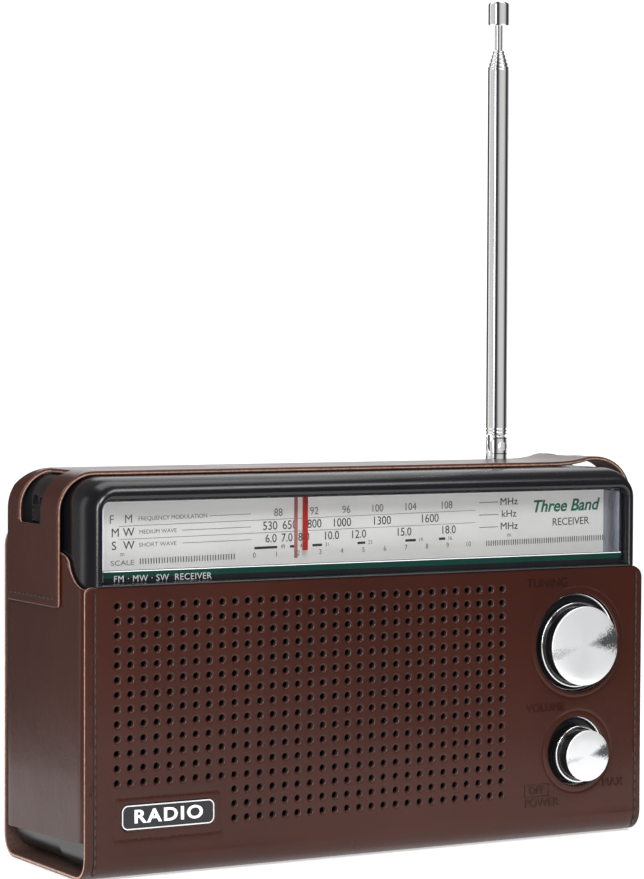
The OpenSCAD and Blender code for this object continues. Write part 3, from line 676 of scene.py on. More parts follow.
@dataclass
class Sheet:
    """A piece of leather cut flat, with round cut edges, punched holes and pressed lines.

    The flat piece lies in coordinates u and v; place carries (u, v, depth below the grain side)
    to the row frame.
    """

    name: str
    outline: np.ndarray
    place: Place
    thickness: float
    holes: list[np.ndarray] = field(default_factory=list)
    punched: list[np.ndarray] = field(default_factory=list)
    loose: np.ndarray | None = None
    relief: Callable[[np.ndarray, np.ndarray], np.ndarray] | None = None
    edge: float = 0.00035
    pale: tuple[float, float] = (0.5, 0.68)

    def lifted(self, flat: np.ndarray, depth: float) -> np.ndarray:
        """Carries flat points at one depth to the row frame, pressed in by the relief."""
        u, v = flat[:, 0], flat[:, 1]
        deep = np.full(len(flat), depth)
        if self.relief is not None:
            deep = deep + self.relief(u, v)
        return self.place(u, v, deep)

    def rim(self, pile: MeshPile, loops: Sequence[tuple[np.ndarray, float]], marks: Sequence[int]) -> None:
        """Joins closed loops, each at its depth, with a strip from each to the next."""
        placed = [self.lifted(loop, depth) for loop, depth in loops]
        for (first, second), mark in zip(zip(placed, placed[1:]), marks):
            pile.grid(np.stack([first, second]), mark, close_cols=True)

    def build(self, grain: Look = Look.LEATHER) -> bpy.types.Object:
        """Makes the closed leather piece: grain side, flesh side, cut edges and hole walls, the deeper part
        of punched hole walls in painted shade.

        Args:
            grain: The finish of its grain side.

        Returns:
            The new object.
        """
        pile = MeshPile()
        flat_rim, punch_rim = 0.00012, 0.00062
        full, e = self.thickness, self.edge
        guard = e + flat_rim
        wide = [outset(hole, guard) for hole in self.holes]
        dished = [outset(hole, punch_rim + flat_rim) for hole in self.punched]
        inner = outset(self.outline, -guard)
        spots, triangles = filled(inner, wide + dished, self.loose)
        grain_mark, cut_mark, flesh_mark, stain_mark, hole_shade_mark = range(5)
        pile.add(self.lifted(spots, 0), triangles, grain_mark)
        pile.add(self.lifted(spots, full), triangles[:, ::-1], flesh_mark)
        rims = [(self.outline, inner, -1), *[(hole, grown, 1) for hole, grown in zip(self.holes, wide)]]
        for loop, flat, sign in rims:
            bend = [(outset(loop, sign * e * (1 - math.sin(b))), e * (1 - math.cos(b)))
                    for b in np.radians([0, 30, 60, 90])]
            back = [(curve, full - depth) for curve, depth in reversed(bend)]
            pale = [(loop, full * share) for share in self.pale]
            self.rim(pile, [(flat, 0), *bend, *pale, *back, (flat, full)],
                     [grain_mark] * 4 + [stain_mark, cut_mark, stain_mark] + [flesh_mark] * 4)
        for hole, loop in zip(self.punched, dished):
            dish = [(outset(hole, punch_rim * share), depth)
                    for share, depth in ((1, 0), (0.6, 0.00006), (0.2, 0.00024))]
            # Below half a millimetre the punched hole's wall wears painted shade.
            self.rim(pile, [(loop, 0), *dish, (hole, 0.0005), (hole, full), (loop, full)],
                     [grain_mark] * 4 + [hole_shade_mark, flesh_mark])
        looks = [grain, Look.RAW_EDGE, Look.FLESH, Look.CUT_EDGE, Look.HOLE_SHADE]
        return pile.piece(self.name, looks, weld=2e-7, flat_angle=50)


@dataclass(frozen=True)
class FoldPath:
    """A sheet that runs up a face, round a fold and along the underside.

    side is -1 for the front and +1 for the back. v is the height above the fold on the face; below
    zero it runs round the fold and then along the underside.
    """

    face_y: float
    radius: float
    side: int
    wave: float = 0.0

    def __call__(self, u: np.ndarray, v: np.ndarray, depth: np.ndarray) -> np.ndarray:
        """Carries flat points to the row frame by the arc's sine and cosine round the fold."""
        arc = self.radius * math.pi / 2
        angle = np.clip(-v / self.radius, 0, math.pi / 2)
        beyond = np.maximum(-v - arc, 0)
        reach = self.radius - depth
        centre_y = abs(self.face_y) - self.radius
        y = centre_y + reach * np.cos(angle) - beyond
        z = self.radius - reach * np.sin(angle) + np.maximum(v, 0)
        y = y + self.wave * np.sin(u * 41 + 0.7) * np.sin(v * 47 + 0.4) * (v > 0)
        return np.stack([u, self.side * y, z], axis=1)


@dataclass(frozen=True)
class GussetPath:
    """A side gusset: u runs from the front flange round the side to the rear flange, v is the height."""

    outer_x: float
    half_depth: float
    radius: float
    side: int

    def __call__(self, u: np.ndarray, v: np.ndarray, depth: np.ndarray) -> np.ndarray:
        """Carries flat points to the row frame round both flange folds."""
        straight = self.half_depth - self.radius
        arc = self.radius * math.pi / 2
        away = np.abs(u)
        angle = np.clip((away - straight) / self.radius, 0, math.pi / 2)
        beyond = np.maximum(away - straight - arc, 0)
        reach = self.radius - depth
        x = self.outer_x - self.radius + reach * np.cos(angle) - beyond
        y = np.sign(u) * (np.minimum(away, straight) + reach * np.sin(angle))
        return np.stack([self.side * x, y, v], axis=1)


@dataclass(frozen=True)
class StrapPath:
    """The strap over the top: u runs from the left end over the top to the right end, v is Y."""

    half_width: float
    top_z: float
    radius: float
    bulge: float

    def __call__(self, u: np.ndarray, v: np.ndarray, depth: np.ndarray) -> np.ndarray:
        """Carries flat points over both corners, with a bell-shaped bulge at the right one."""
        straight = self.half_width - self.radius
        arc = self.radius * math.pi / 2
        away = np.abs(u)
        angle = np.clip((away - straight) / self.radius, 0, math.pi / 2)
        beyond = np.maximum(away - straight - arc, 0)
        lift = self.bulge * (u > 0) * np.exp(-(((away - straight - 0.018) / 0.014) ** 2))
        reach = self.radius - depth + lift
        x = np.sign(u) * (np.minimum(away, straight) + reach * np.sin(angle))
        z = self.top_z - self.radius + reach * np.cos(angle) - beyond
        return np.stack([x, v, z], axis=1)


def stitched(name: str, spots: np.ndarray, along: np.ndarray, out: np.ndarray,
             length: float = 0.0022) -> list[bpy.types.Object]:
    """A row of sewn stitches with a dark disc of painted shade for the needle hole at each end of every
    stitch.

    Each stitch is an ellipsoid, half sunk in the leather: the unit sphere's points times its half
    length along the seam and its thread radius across it.

    Args:
        name: Name of the thread; the holes add _holes.
        spots: Middle of each stitch on the grain surface.
        along: Unit direction of the seam at each stitch.
        out: Unit direction out of the leather at each stitch.
        length: Length of a stitch.

    Returns:
        The thread and the needle holes' discs of painted shade.
    """
    across = np.cross(along, out)
    theta = np.linspace(0, math.pi, 7)[:, None]
    phi = (np.arange(8) * math.pi / 4)[None]
    ball = np.stack([np.cos(theta) + 0 * phi, np.sin(theta) * np.cos(phi),
                     np.sin(theta) * np.sin(phi)], axis=-1)
    thread_size, hole_size = np.array([length / 2, 0.00033, 0.00024]), np.array([0.00062, 0.00055, 0.0001])
    thread, holes = MeshPile(), MeshPile()
    for spot, *axes in zip(spots, along, across, out):
        thread.grid(spot + ball * thread_size @ np.stack(axes), close_cols=True)
        for end in (-1, 1):
            # Each needle hole is a flat dark disc of painted shade.
            hole_spot = spot + end * axes[0] * (length / 2 + 0.0002)
            holes.grid(hole_spot + ball * hole_size @ np.stack(axes), close_cols=True)
    return [thread.piece(name, [Look.THREAD]), holes.piece(name + "_holes", [Look.HOLE_SHADE])]


def lathe(profile: Sequence[tuple[float, float]], count: int, to_frame: Place) -> np.ndarray:
    """A turned surface: each profile point (radius, height) swept round the axis.

    Args:
        profile: (radius, height along the axis) of each point.
        count: Steps round the axis.
        to_frame: Carries (radius times cosine, radius times sine, height) to the row frame.

    Returns:
        A grid of points, one row to each profile point.
    """
    turns = np.arange(count) * 2 * math.pi / count
    radius, height = (np.array(column)[:, None] for column in zip(*profile))
    return to_frame(radius * np.cos(turns), radius * np.sin(turns), height + 0 * turns)


def about_y(x: float, z: float) -> Place:
    """Carries lathe coordinates to an axis along Y at (x, z)."""
    return lambda a, b, h: np.stack([x + a, h, z + b], axis=-1)


def about_z(x: float, y: float) -> Place:
    """Carries lathe coordinates to an upright axis at (x, y)."""
    return lambda a, b, h: np.stack([x + a, y + b, h], axis=-1)


def turned(name: str, profile: Sequence[tuple[float, float]], axis: Place, look: Look, count: int = 128,
           flat_angle: float = 50.0, ring: bool = True) -> bpy.types.Object:
    """Makes one turned piece.

    Args:
        name: Name of the object.
        profile: (radius, height along the axis) of each point.
        axis: Where the axis stands, from about_y or about_z.
        look: Its finish.
        count: Steps round the axis.
        flat_angle: Edges sharper than this many degrees stay sharp.
        ring: Whether the profile closes on itself; if not, it starts and ends on the axis.

    Returns:
        The new object.
    """
    pile = MeshPile()
    pile.grid(lathe(profile, count, axis), close_rows=ring, close_cols=True)
    return pile.piece(name, [look], flat_angle=flat_angle)


def lettering(words: str, size: float, spot: Sequence[float], look: Look, name: str, depth: float = 0.00003,
              weight: float = 0.0, shear: float = 0.0, align: str = "CENTER", spacing: float = 1.0,
              squeeze: float = 1.0) -> bpy.types.Object:
    """Flat letters that face the front, as a mesh with a little thickness.

    Args:
        words: What they say.
        size: Height of the type in metres.
        spot: Where the line of type stands in the row frame.
        look: Their finish.
        name: Name of the object.
        depth: Half the thickness of the letters.
        weight: How far the strokes are fattened, as a share of the size.
        shear: Slant of the letters.
        align: Which end or middle of the line stands at spot.
        spacing: Letter spacing.
        squeeze: Width of the letters as a share of normal.

    Returns:
        The new mesh object.
    """
    curve = bpy.data.curves.new(name, "FONT")
    curve.body = words
    curve.size = size
    curve.extrude = depth
    curve.offset = weight * size
    curve.shear = shear
    curve.space_character = spacing
    curve.align_x = align
    curve.align_y = "CENTER"
    curve.resolution_u = 4
    holder = in_scene(name + "_type", curve)
    bpy.context.view_layer.update()
    graph = bpy.context.evaluated_depsgraph_get()
    mesh = bpy.data.meshes.new_from_object(holder.evaluated_get(graph))
    bpy.data.objects.remove(holder)
    upright_turn = Matrix.Rotation(math.pi / 2, 4, "X")
    mesh.transform(Matrix.Translation(spot) @ upright_turn @ Matrix.Diagonal((squeeze, 1, 1, 1)))
    mesh.materials.clear()
    mesh.materials.append(look.material())
    return in_scene(name, mesh)


def joined(name: str, parts: Sequence[bpy.types.Object]) -> bpy.types.Object:
    """Joins meshes that all stand in the row frame and share one material into one object."""
    points, faces = [], []
    material = parts[0].data.materials[0]
    for part in parts:
        count = len(points)
        points.extend(vertex.co[:] for vertex in part.data.vertices)
        faces.extend([count + v for v in polygon.vertices] for polygon in part.data.polygons)
        bpy.data.objects.remove(part)
    mesh = bpy.data.meshes.new(name)
    mesh.from_pydata(points, [], faces)
    mesh.materials.append(material)
    return in_scene(name, mesh)


def slab(pile: MeshPile, low: Sequence[float], high: Sequence[float], bevel: float = 0.0002) -> None:
    """Adds a block whose twelve edges are cut back by bevel, as the hull of three shrunk boxes."""
    low, high = np.array(low, float), np.array(high, float)
    corners = np.array([[(i >> k) & 1 for k in range(3)] for i in range(8)], bool)
    points = []
    for axis in range(3):
        inset = np.full(3, bevel)
        inset[axis] = 0
        points.append(np.where(corners, high - inset, low + inset))
    work = bmesh.new()
    verts = [work.verts.new(p) for p in np.concatenate(points)]
    bmesh.ops.convex_hull(work, input=verts)
    bmesh.ops.dissolve_limit(work, angle_limit=0.01, verts=work.verts, edges=work.edges)
    work.verts.index_update()
    coords = np.array([v.co[:] for v in work.verts])
    faces = [[v.index for v in face.verts] for face in work.faces]
    work.free()
    for size in {len(face) for face in faces}:
        pile.add(coords, [face for face in faces if len(face) == size])


def ride(pieces: Sequence[bpy.types.Object], body: str) -> None:
    """Makes each piece move with a body and logs the body it rides on."""
    for piece in pieces:
        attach(piece, body)
        LOG.info("%s rides on %s", piece.name, body)


# ---------------------------------------------------------------------------
# Leather case
# ---------------------------------------------------------------------------


def seam(path: Place, start: Sequence[float], end: Sequence[float], pitch: float = 0.0031) -> Stitches:
    """Places stitches evenly along a straight line of the flat leather.

    The direction along the seam and the outward direction are differences of the path over a
    hundredth of a millimetre.

    Args:
        path: Carries flat leather to the row frame.
        start: (u, v) of the seam's first end.
        end: (u, v) of its other end.
        pitch: Distance from one stitch to the next.

    Returns:
        Middle, direction along the seam and outward direction of each stitch.
    """
    tiny = 1e-5
    start, end = np.array(start), np.array(end)
    length = np.linalg.norm(end - start)
    count = int(length / pitch)
    share = (np.arange(count) + 0.5)[:, None] / count
    flat = start + (end - start) * share
    step = (end - start) / length * tiny
    zero = np.zeros(count)
    here = path(flat[:, 0], flat[:, 1], zero)
    ahead = path(flat[:, 0] + step[0], flat[:, 1] + step[1], zero)
    deeper = path(flat[:, 0], flat[:, 1], zero + tiny)
    along = (ahead - here) / np.linalg.norm(ahead - here, axis=1)[:, None]
    out = (here - deeper) / np.linalg.norm(here - deeper, axis=1)[:, None]
    return here, along, out


def mesh_points(low: Sequence[float], high: Sequence[float], step: float,
                rows: Sequence[float] = ()) -> np.ndarray:
    """A grid of flat points from low to high, with extra rows at the given v."""
    us = np.arange(low[0], high[0] + step / 2, step)
    evenly = np.arange(low[1], high[1] + step / 2, step)
    u, v = np.meshgrid(us, np.unique(np.concatenate([evenly, np.array(rows, float)])))
    return np.stack([u.ravel(), v.ravel()], axis=1)


def bell(away: np.ndarray, width: float) -> np.ndarray:
    """A bell curve, one at zero: e to the minus square of the distance over the width."""
    return np.exp(-((away / width) ** 2))


@dataclass
class LeatherCase:
    """The fitted case: front and bottom in one piece, back flap, two gussets, strap and studs."""

    half_width: float = 0.1053
    face_y: float = 0.031
    fold: float = 0.007
    thickness: float = 0.0014
    front_top: float = 0.0916
    pitch: float = 0.0046
    hole_radius: float = 0.00095
    first_hole: tuple[float, float] = (-0.0943, 0.08556)
    columns: int = 32
    rows: int = 16
    missing_columns: int = 9
    missing_rows: int = 3
    knobs: tuple[tuple[float, float, float], ...] = (
        (TUNING_Z + HOLE_RISE, 0.0168, 0.0187), (VOLUME_Z + HOLE_RISE, 0.0117, 0.0138))
    seam_x: tuple[float, float] = (-0.1019, 0.103)
    stud_x: float = 0.1006
    stud_z: float = 0.097

    def hole_centres(self) -> np.ndarray:
        """Centres of the punched holes on the front, as (X, Z): a grid less one corner."""
        col, row = np.meshgrid(np.arange(self.columns), np.arange(self.rows))
        keep = (row < self.rows - self.missing_rows) | (col >= self.missing_columns)
        x = self.first_hole[0] + col[keep] * self.pitch
        z = self.first_hole[1] - row[keep] * self.pitch
        return np.stack([x, z], axis=1)

    def badge_outline(self, grow: float) -> np.ndarray:
        """Outline of the badge's opening on the flat leather, grown on every side."""
        low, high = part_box("badge_plate")
        bottom, top = low.z - grow - self.fold, high.z + grow - self.fold
        return rounded_box(low.x - grow, high.x + grow, bottom, top, BADGE_CORNER + grow)

    def badge_line(self, grow: float = 0.0) -> tuple[float, float, float, float]:
        """The line pressed round the badge, grown, as low and high u, then low and high v."""
        return -0.0951 - grow, -0.058 + grow, 0.0128 - self.fold - grow, 0.0257 - self.fold + grow

    def relief(self, u: np.ndarray, v: np.ndarray) -> np.ndarray:
        """Depth of the pressed lines: narrow bell curves along rings, the badge's line and the seams."""
        deep = np.zeros(len(u))
        ring_depth, line_depth, edge_rise = 0.00016, 0.00022, 0.0001
        for z, _, ring in self.knobs:
            radius = np.hypot(u - KNOB_X, v + self.fold - z)
            deep += ring_depth * bell(radius - ring, 0.00042)
        for x in self.seam_x:
            deep += line_depth * bell(u - x, 0.0006)
            outside = np.abs(u) - abs(x) - 0.0006
            deep -= edge_rise * np.clip(outside / 0.0008, 0, 1) * (np.sign(u) == np.sign(x)) * (v > 0)
        u0, u1, v0, v1 = self.badge_line()
        away = np.maximum(np.maximum(u0 - u, u - u1), np.maximum(v0 - v, v - v1))
        return deep + line_depth * bell(away, 0.00035)

    def relief_points(self) -> np.ndarray:
        """Flat points close enough round every pressed line to show it."""
        sets = []
        beside = np.arange(-3, 4) * 0.0003
        for z, _, ring in self.knobs:
            sets.extend(ring_around((KNOB_X, z - self.fold), ring + d, 120) for d in beside)
        heights = np.arange(-0.034, self.front_top - self.fold - 0.0012, 0.0022)
        for x in self.seam_x:
            sets.extend(np.stack([np.full(len(heights), x + d), heights], axis=1)
                        for d in np.arange(-4, 5) * 0.00035)
        for d in beside:
            u0, u1, v0, v1 = self.badge_line(d)
            sets.append(resampled(np.array([(u0, v0), (u1, v0), (u1, v1), (u0, v1)]), 0.0012))
        return np.concatenate(sets)

    def panel(self, top: float, radii: tuple[float, float], longest: float,
              step: float) -> tuple[np.ndarray, np.ndarray]:
        """Lays out the front or the back flap flat, with its half of the bottom below v = 0.

        Args:
            top: v of its upper edge.
            radii: Radius of its upper right and upper left corner.
            longest: Longest side of the outline.
            step: Distance between the points inside.

        Returns:
            Its outline and the points inside it.
        """
        arc = self.fold * math.pi / 2
        low, hw = -arc - (self.face_y - self.fold), self.half_width
        corners = [(-hw, low, 0.0), (hw, low, 0.0), (hw, top, radii[0]), (-hw, top, radii[1])]
        inner = mesh_points((-hw + 0.0017, low + 0.0015), (hw - 0.0017, top - 0.0015), step,
                            -arc * np.arange(0, 13) / 12)
        return resampled(rounded(corners, 8), longest), inner

    def front(self) -> list[bpy.types.Object]:
        """The front panel with the front half of the bottom, and its two seams."""
        path = FoldPath(self.face_y, self.fold, -1, 0.00012)
        top = self.front_top - self.fold
        outline, grid = self.panel(top, (0.004, 0.0022), 0.0018, 0.0026)
        knobs = [ring_around((KNOB_X, z - self.fold), radius, 72) for z, radius, _ in self.knobs]
        centres = self.hole_centres() - np.array([0, self.fold])
        loose = np.concatenate([grid, self.relief_points()])
        apart = loose[:, None] - centres[None]
        clear = np.min(np.hypot(apart[..., 0], apart[..., 1]), axis=1) > self.hole_radius + 0.0011
        punched = [ring_around(c, self.hole_radius, 14) for c in centres]
        sheet = Sheet("leather_front", outline, path, self.thickness, knobs + [self.badge_outline(0.0004)],
                      punched, loose[clear], self.relief, pale=(0.3, 0.85))
        made = [sheet.build()]
        for side, x in zip(("left", "right"), self.seam_x):
            ends = (x, -self.fold * math.pi / 4), (x, top - 0.0022)
            made += stitched(f"front_seam_{side}", *seam(path, *ends))
        return made

    def back(self) -> bpy.types.Object:
        """The back flap with its fold and the rear half of the bottom."""
        path = FoldPath(self.face_y, self.fold, 1, 0.0001)
        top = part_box("case_back_flap")[1].z - self.fold
        outline, grid = self.panel(top, (0.008, 0.008), 0.002, 0.0045)
        studs = [ring_around((x, self.stud_z - self.fold), 0.0016, 20) for x in (-self.stud_x, self.stud_x)]
        sheet = Sheet("leather_back_flap", outline, path, self.thickness, studs, [], grid, pale=(0.3, 0.85))
        return sheet.build()

    def gusset(self, side: int, name: str) -> bpy.types.Object:
        """A side gusset with its scooped front corner, folded in at front and rear."""
        radius, half = 0.0024, 0.0295
        straight, arc = half - radius, radius * math.pi / 2
        run = straight + arc + 0.005
        scoop = np.array([-0.028, 0.1026]) + 0.0116 * np.stack(
            [turn(np.radians(np.linspace(-18, -96, 14))) for turn in (np.cos, np.sin)], axis=1)
        upper = np.array([(run, 0.1068), (0.0302, 0.1068), (0.0290, 0.111), (-0.0150, 0.1004)])
        lower = np.array([(-run, 0.0911), (-run, 0.012), (-half, 0.012), (half, 0.0097), (run, 0.0097)])
        outline = resampled(np.concatenate([upper, scoop, lower]), 0.0015)
        bends = straight + arc * np.linspace(0, 1, 7)
        us = np.concatenate([-bends, bends, np.linspace(-0.025, 0.025, 13), [-run + 0.002, run - 0.002]])
        u, v = np.meshgrid(us, np.arange(0.0115, 0.111, 0.003))
        loose = np.stack([u.ravel(), v.ravel()], axis=1)
        path = GussetPath(self.half_width, half, radius, side)
        return Sheet(name, outline, path, self.thickness, [], [], loose).build()

    def strap(self) -> list[bpy.types.Object]:
        """The strap over the top, narrower there, with a slot over each corner and a seam at each end."""
        low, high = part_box("case_strap")
        radius, narrow_y = 0.0131, 0.0184
        path = StrapPath(high.x, high.z, radius, 0.0066)
        straight, arc = high.x - radius, radius * math.pi / 2
        end = straight + arc + (high.z - radius - low.z)
        taper = straight + radius * math.asin((0.1043 - straight) / radius)
        corners = [(-end, low.y, 0.001), (end, low.y, 0.001), (end, high.y, 0.001), (taper, high.y, 0.002),
                   (0.0913, narrow_y, 0.006), (-0.0913, narrow_y, 0.006), (-taper, high.y, 0.002),
                   (-end, high.y, 0.001)]
        slots = []
        for side in (-1, 1):
            u0, u1 = sorted((side * 0.096, side * (straight + arc + 0.0041)))
            slots.append(resampled(rounded_box(u0, u1, -0.0004, 0.0166, 0.0015, 4), 0.0015))
        loose = mesh_points((-end + 0.0015, low.y + 0.0012), (end - 0.0015, high.y - 0.0012), 0.0021)
        outline = resampled(rounded(corners, 5), 0.0015)
        made = [Sheet("leather_strap", outline, path, self.thickness, slots, [], loose).build(Look.STRAP)]
        for side, word in ((-1, "left"), (1, "right")):
            u = side * (end - 0.0027)
            made += stitched(f"strap_seam_{word}", *seam(path, (u, low.y + 0.0015), (u, high.y - 0.0015)))
        return made

    def marks(self) -> list[bpy.types.Object]:
        """Words pressed into the leather beside the knobs."""
        y = -self.face_y - 0.00022
        words = [("TUNING", 0.0662, 0.0869, 0.003), ("VOLUME", 0.0658, 0.0447, 0.0028),
                 ("POWER", 0.0645, 0.0126, 0.0028), ("OFF", 0.0624, 0.0169, 0.0025),
                 ("MAX", 0.0937, 0.0176, 0.0028)]
        made = [lettering(word, height / CAPITAL_HEIGHT, (x, y, z), Look.EMBOSSED, f"pressed_{word.lower()}",
                          0.00006) for word, x, z, height in words]
        pile = MeshPile()
        x0, x1, z0, z1, half = 0.0576, 0.0672, 0.0149, 0.0189, 0.00012
        for a, b, c, d in ((x0, x1, z0, z0), (x0, x1, z1, z1), (x0, x0, z0, z1), (x1, x1, z0, z1)):
            slab(pile, (a - half, y - 0.00005, c - half), (b + half, y + 0.0003, d + half), 0.00003)
        return made + [pile.piece("pressed_box", [Look.EMBOSSED])]

    def studs(self) -> bpy.types.Object:
        """Two domed press studs on the back flap."""
        pile = MeshPile()
        profile = [(0.0, 0.0296), (0.0012, 0.0296), (0.0012, 0.0309), (0.0039, 0.031), (0.0041, 0.0313),
                   (0.0039, 0.0317), (0.003, 0.0322), (0.0015, 0.0325), (0.0, 0.0326)]
        for x in (-self.stud_x, self.stud_x):
            pile.grid(lathe(profile, 40, about_y(x, self.stud_z)), close_cols=True)
        return pile.piece("press_studs", [Look.BRASS], flat_angle=60)

    def build(self) -> None:
        """Makes the whole case and hides the parts of the frame it stands for."""
        front = self.front()
        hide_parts("case_front", "case_base")
        back = self.back()
        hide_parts("case_back_flap")
        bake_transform(back)
        gussets = [self.gusset(-1, "leather_gusset_left"), self.gusset(1, "leather_gusset_right")]
        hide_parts("case_gusset_left")
        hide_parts("case_gusset_right")
        strap = self.strap()
        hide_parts("case_strap")
        ride([*front, *gussets, *strap, *self.marks()], "radio")
        studs = self.studs()
        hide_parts("press_stud_caps")
        ride([studs], "back_flap")


# ---------------------------------------------------------------------------
# Cabinet, badge and dial
# ---------------------------------------------------------------------------


@dataclass
class Cabinet:
    """The black moulding with its rounded frame round the dial."""

    half_width: float = 0.1036
    bottom: float = 0.0018
    top: float = 0.1252
    tray_top: float = 0.0905
    window_x: float = 0.099
    window_low: float = 0.0926
    window_high: float = 0.1178
    wall_y: float = -0.028
    crest_y: float = -0.0316
    seam_y: float = -0.0085
    wall: float = 0.002
    step_y: float = 0.026

    def bezel(self) -> bpy.types.Object:
        """The frame: a half-round section swept between the window's outline and the cabinet's."""
        hw, wx, crest = self.half_width, self.window_x, self.crest_y
        outer = rounded_box(-hw, hw, 0.0906, self.top, 0.0004, 14, 0.01)
        inner = rounded_box(-wx, wx, self.window_low, self.window_high, 0.0004, 14, 0.0026)
        lip, shoulder, split, back = -0.0283, -0.0222, 0.3, -0.0262
        slope = [(split * (1 - math.cos(t)), lip + (crest - lip) * math.sin(t))
                 for t in np.radians(np.linspace(0, 90, 9))]
        curve = [(split + (1 - split) * math.sin(t), shoulder + (crest - shoulder) * math.cos(t))
                 for t in np.radians(np.linspace(6, 90, 15))]
        rows = [upright(inner + (outer - inner) * across, y) for across, y in slope + curve]
        for loop, y in ((outer, self.seam_y - 0.0003), (outset(outer, -0.0003), self.seam_y),
                        (outset(outer, -self.wall), self.seam_y), (outset(outer, -self.wall), back),
                        (inner, back)):
            rows.append(upright(loop, y))
        pile = MeshPile()
        pile.grid(np.stack(rows), close_rows=True, close_cols=True)
        return pile.piece("dial_bezel", [Look.GLOSS_BLACK], flat_angle=35)

    def grille(self) -> list[np.ndarray]:
        """Outlines of the upright slots before the speaker, each as long as the circle they fill."""
        cx, cz, reach, spacing, half = -0.023, 0.0475, 0.036, 0.006, 0.0015
        slots = []
        for n in range(-6, 7):
            x = cx + n * spacing
            rise = math.sqrt(max(reach ** 2 - (abs(n) * spacing + half) ** 2, 0))
            if rise > 0.004:
                slots.append(rounded_box(x - half, x + half, cz - rise, cz + rise, 0.001, 3))
        return slots

    def tray(self) -> bpy.types.Object:
        """The lower front moulding behind the leather, with grille slots and knob holes."""
        outline = rounded_box(-self.half_width, self.half_width, self.bottom, self.tray_top, 0.008, 8, 0.0)
        inner = outset(outline, -self.wall)
        openings = self.grille() + [ring_around((KNOB_X, z), 0.0051, 40) for z in (TUNING_Z, VOLUME_Z)]
        face, inside_y = self.wall_y, self.wall_y + self.wall
        pile = MeshPile()
        for loop, y, turn in ((outline, face, 1), (inner, inside_y, -1)):
            spots, triangles = filled(loop, openings)
            pile.add(upright(spots, y), triangles[:, ::turn])
        rows = [upright(outline, face), upright(outline, self.seam_y), upright(inner, self.seam_y),
                upright(inner, inside_y)]
        pile.grid(np.stack(rows), close_cols=True)
        for loop in openings:
            pile.grid(np.stack([upright(loop, face), upright(loop, inside_y)]), close_cols=True)
        return pile.piece("front_tray", [Look.SATIN_BLACK], flat_angle=35)

    def thumb_step(self) -> bpy.types.Object:
        """The sunk step beside the battery cover, which its free end slides over."""
        low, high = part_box("battery_cover")
        pile = MeshPile()
        slab(pile, (high.x - 0.0006, self.step_y - 0.0007, low.z - 0.0003),
             (high.x + 0.0063, self.step_y, high.z + 0.0003), 0.0001)
        return pile.piece("battery_thumb_step", [Look.SATIN_BLACK])

    def build(self) -> None:
        """Makes the moulding in place of the frame's front cabinet."""
        bezel = self.bezel()
        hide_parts("front_cabinet")
        ride([bezel, self.tray()], "radio")
        ride([self.thumb_step()], "radio")


class Badge:
    """A black name plate with a silver frame and generic letters."""

    def build(self) -> None:
        """Makes the letters and the frame on the frame's badge plate."""
        low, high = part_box("badge_plate")
        y, e = low.y - 0.00004, 0.0003
        middle = (low.x + high.x) / 2, y - 0.0001, (low.z + high.z) / 2
        letters = lettering("RADIO", 0.0058, middle, Look.PRINT_WHITE, "badge_letters", 0.00016, 0.022,
                            spacing=1.18, squeeze=1.22)
        outline = rounded_box(low.x, high.x, low.z, high.z, BADGE_CORNER, 8)
        inner, outer = outset(outline, -e), outset(outline, e * 0.3)
        rows = [upright(inner, y + 0.0001), upright(inner, y - 0.0001), upright(outer, y - 0.0001),
                upright(outer, y + 0.0005)]
        pile = MeshPile()
        pile.grid(np.stack(rows), close_rows=True, close_cols=True)
        ride([letters, pile.piece("badge_frame", [Look.SILVER_LINE])], "radio")


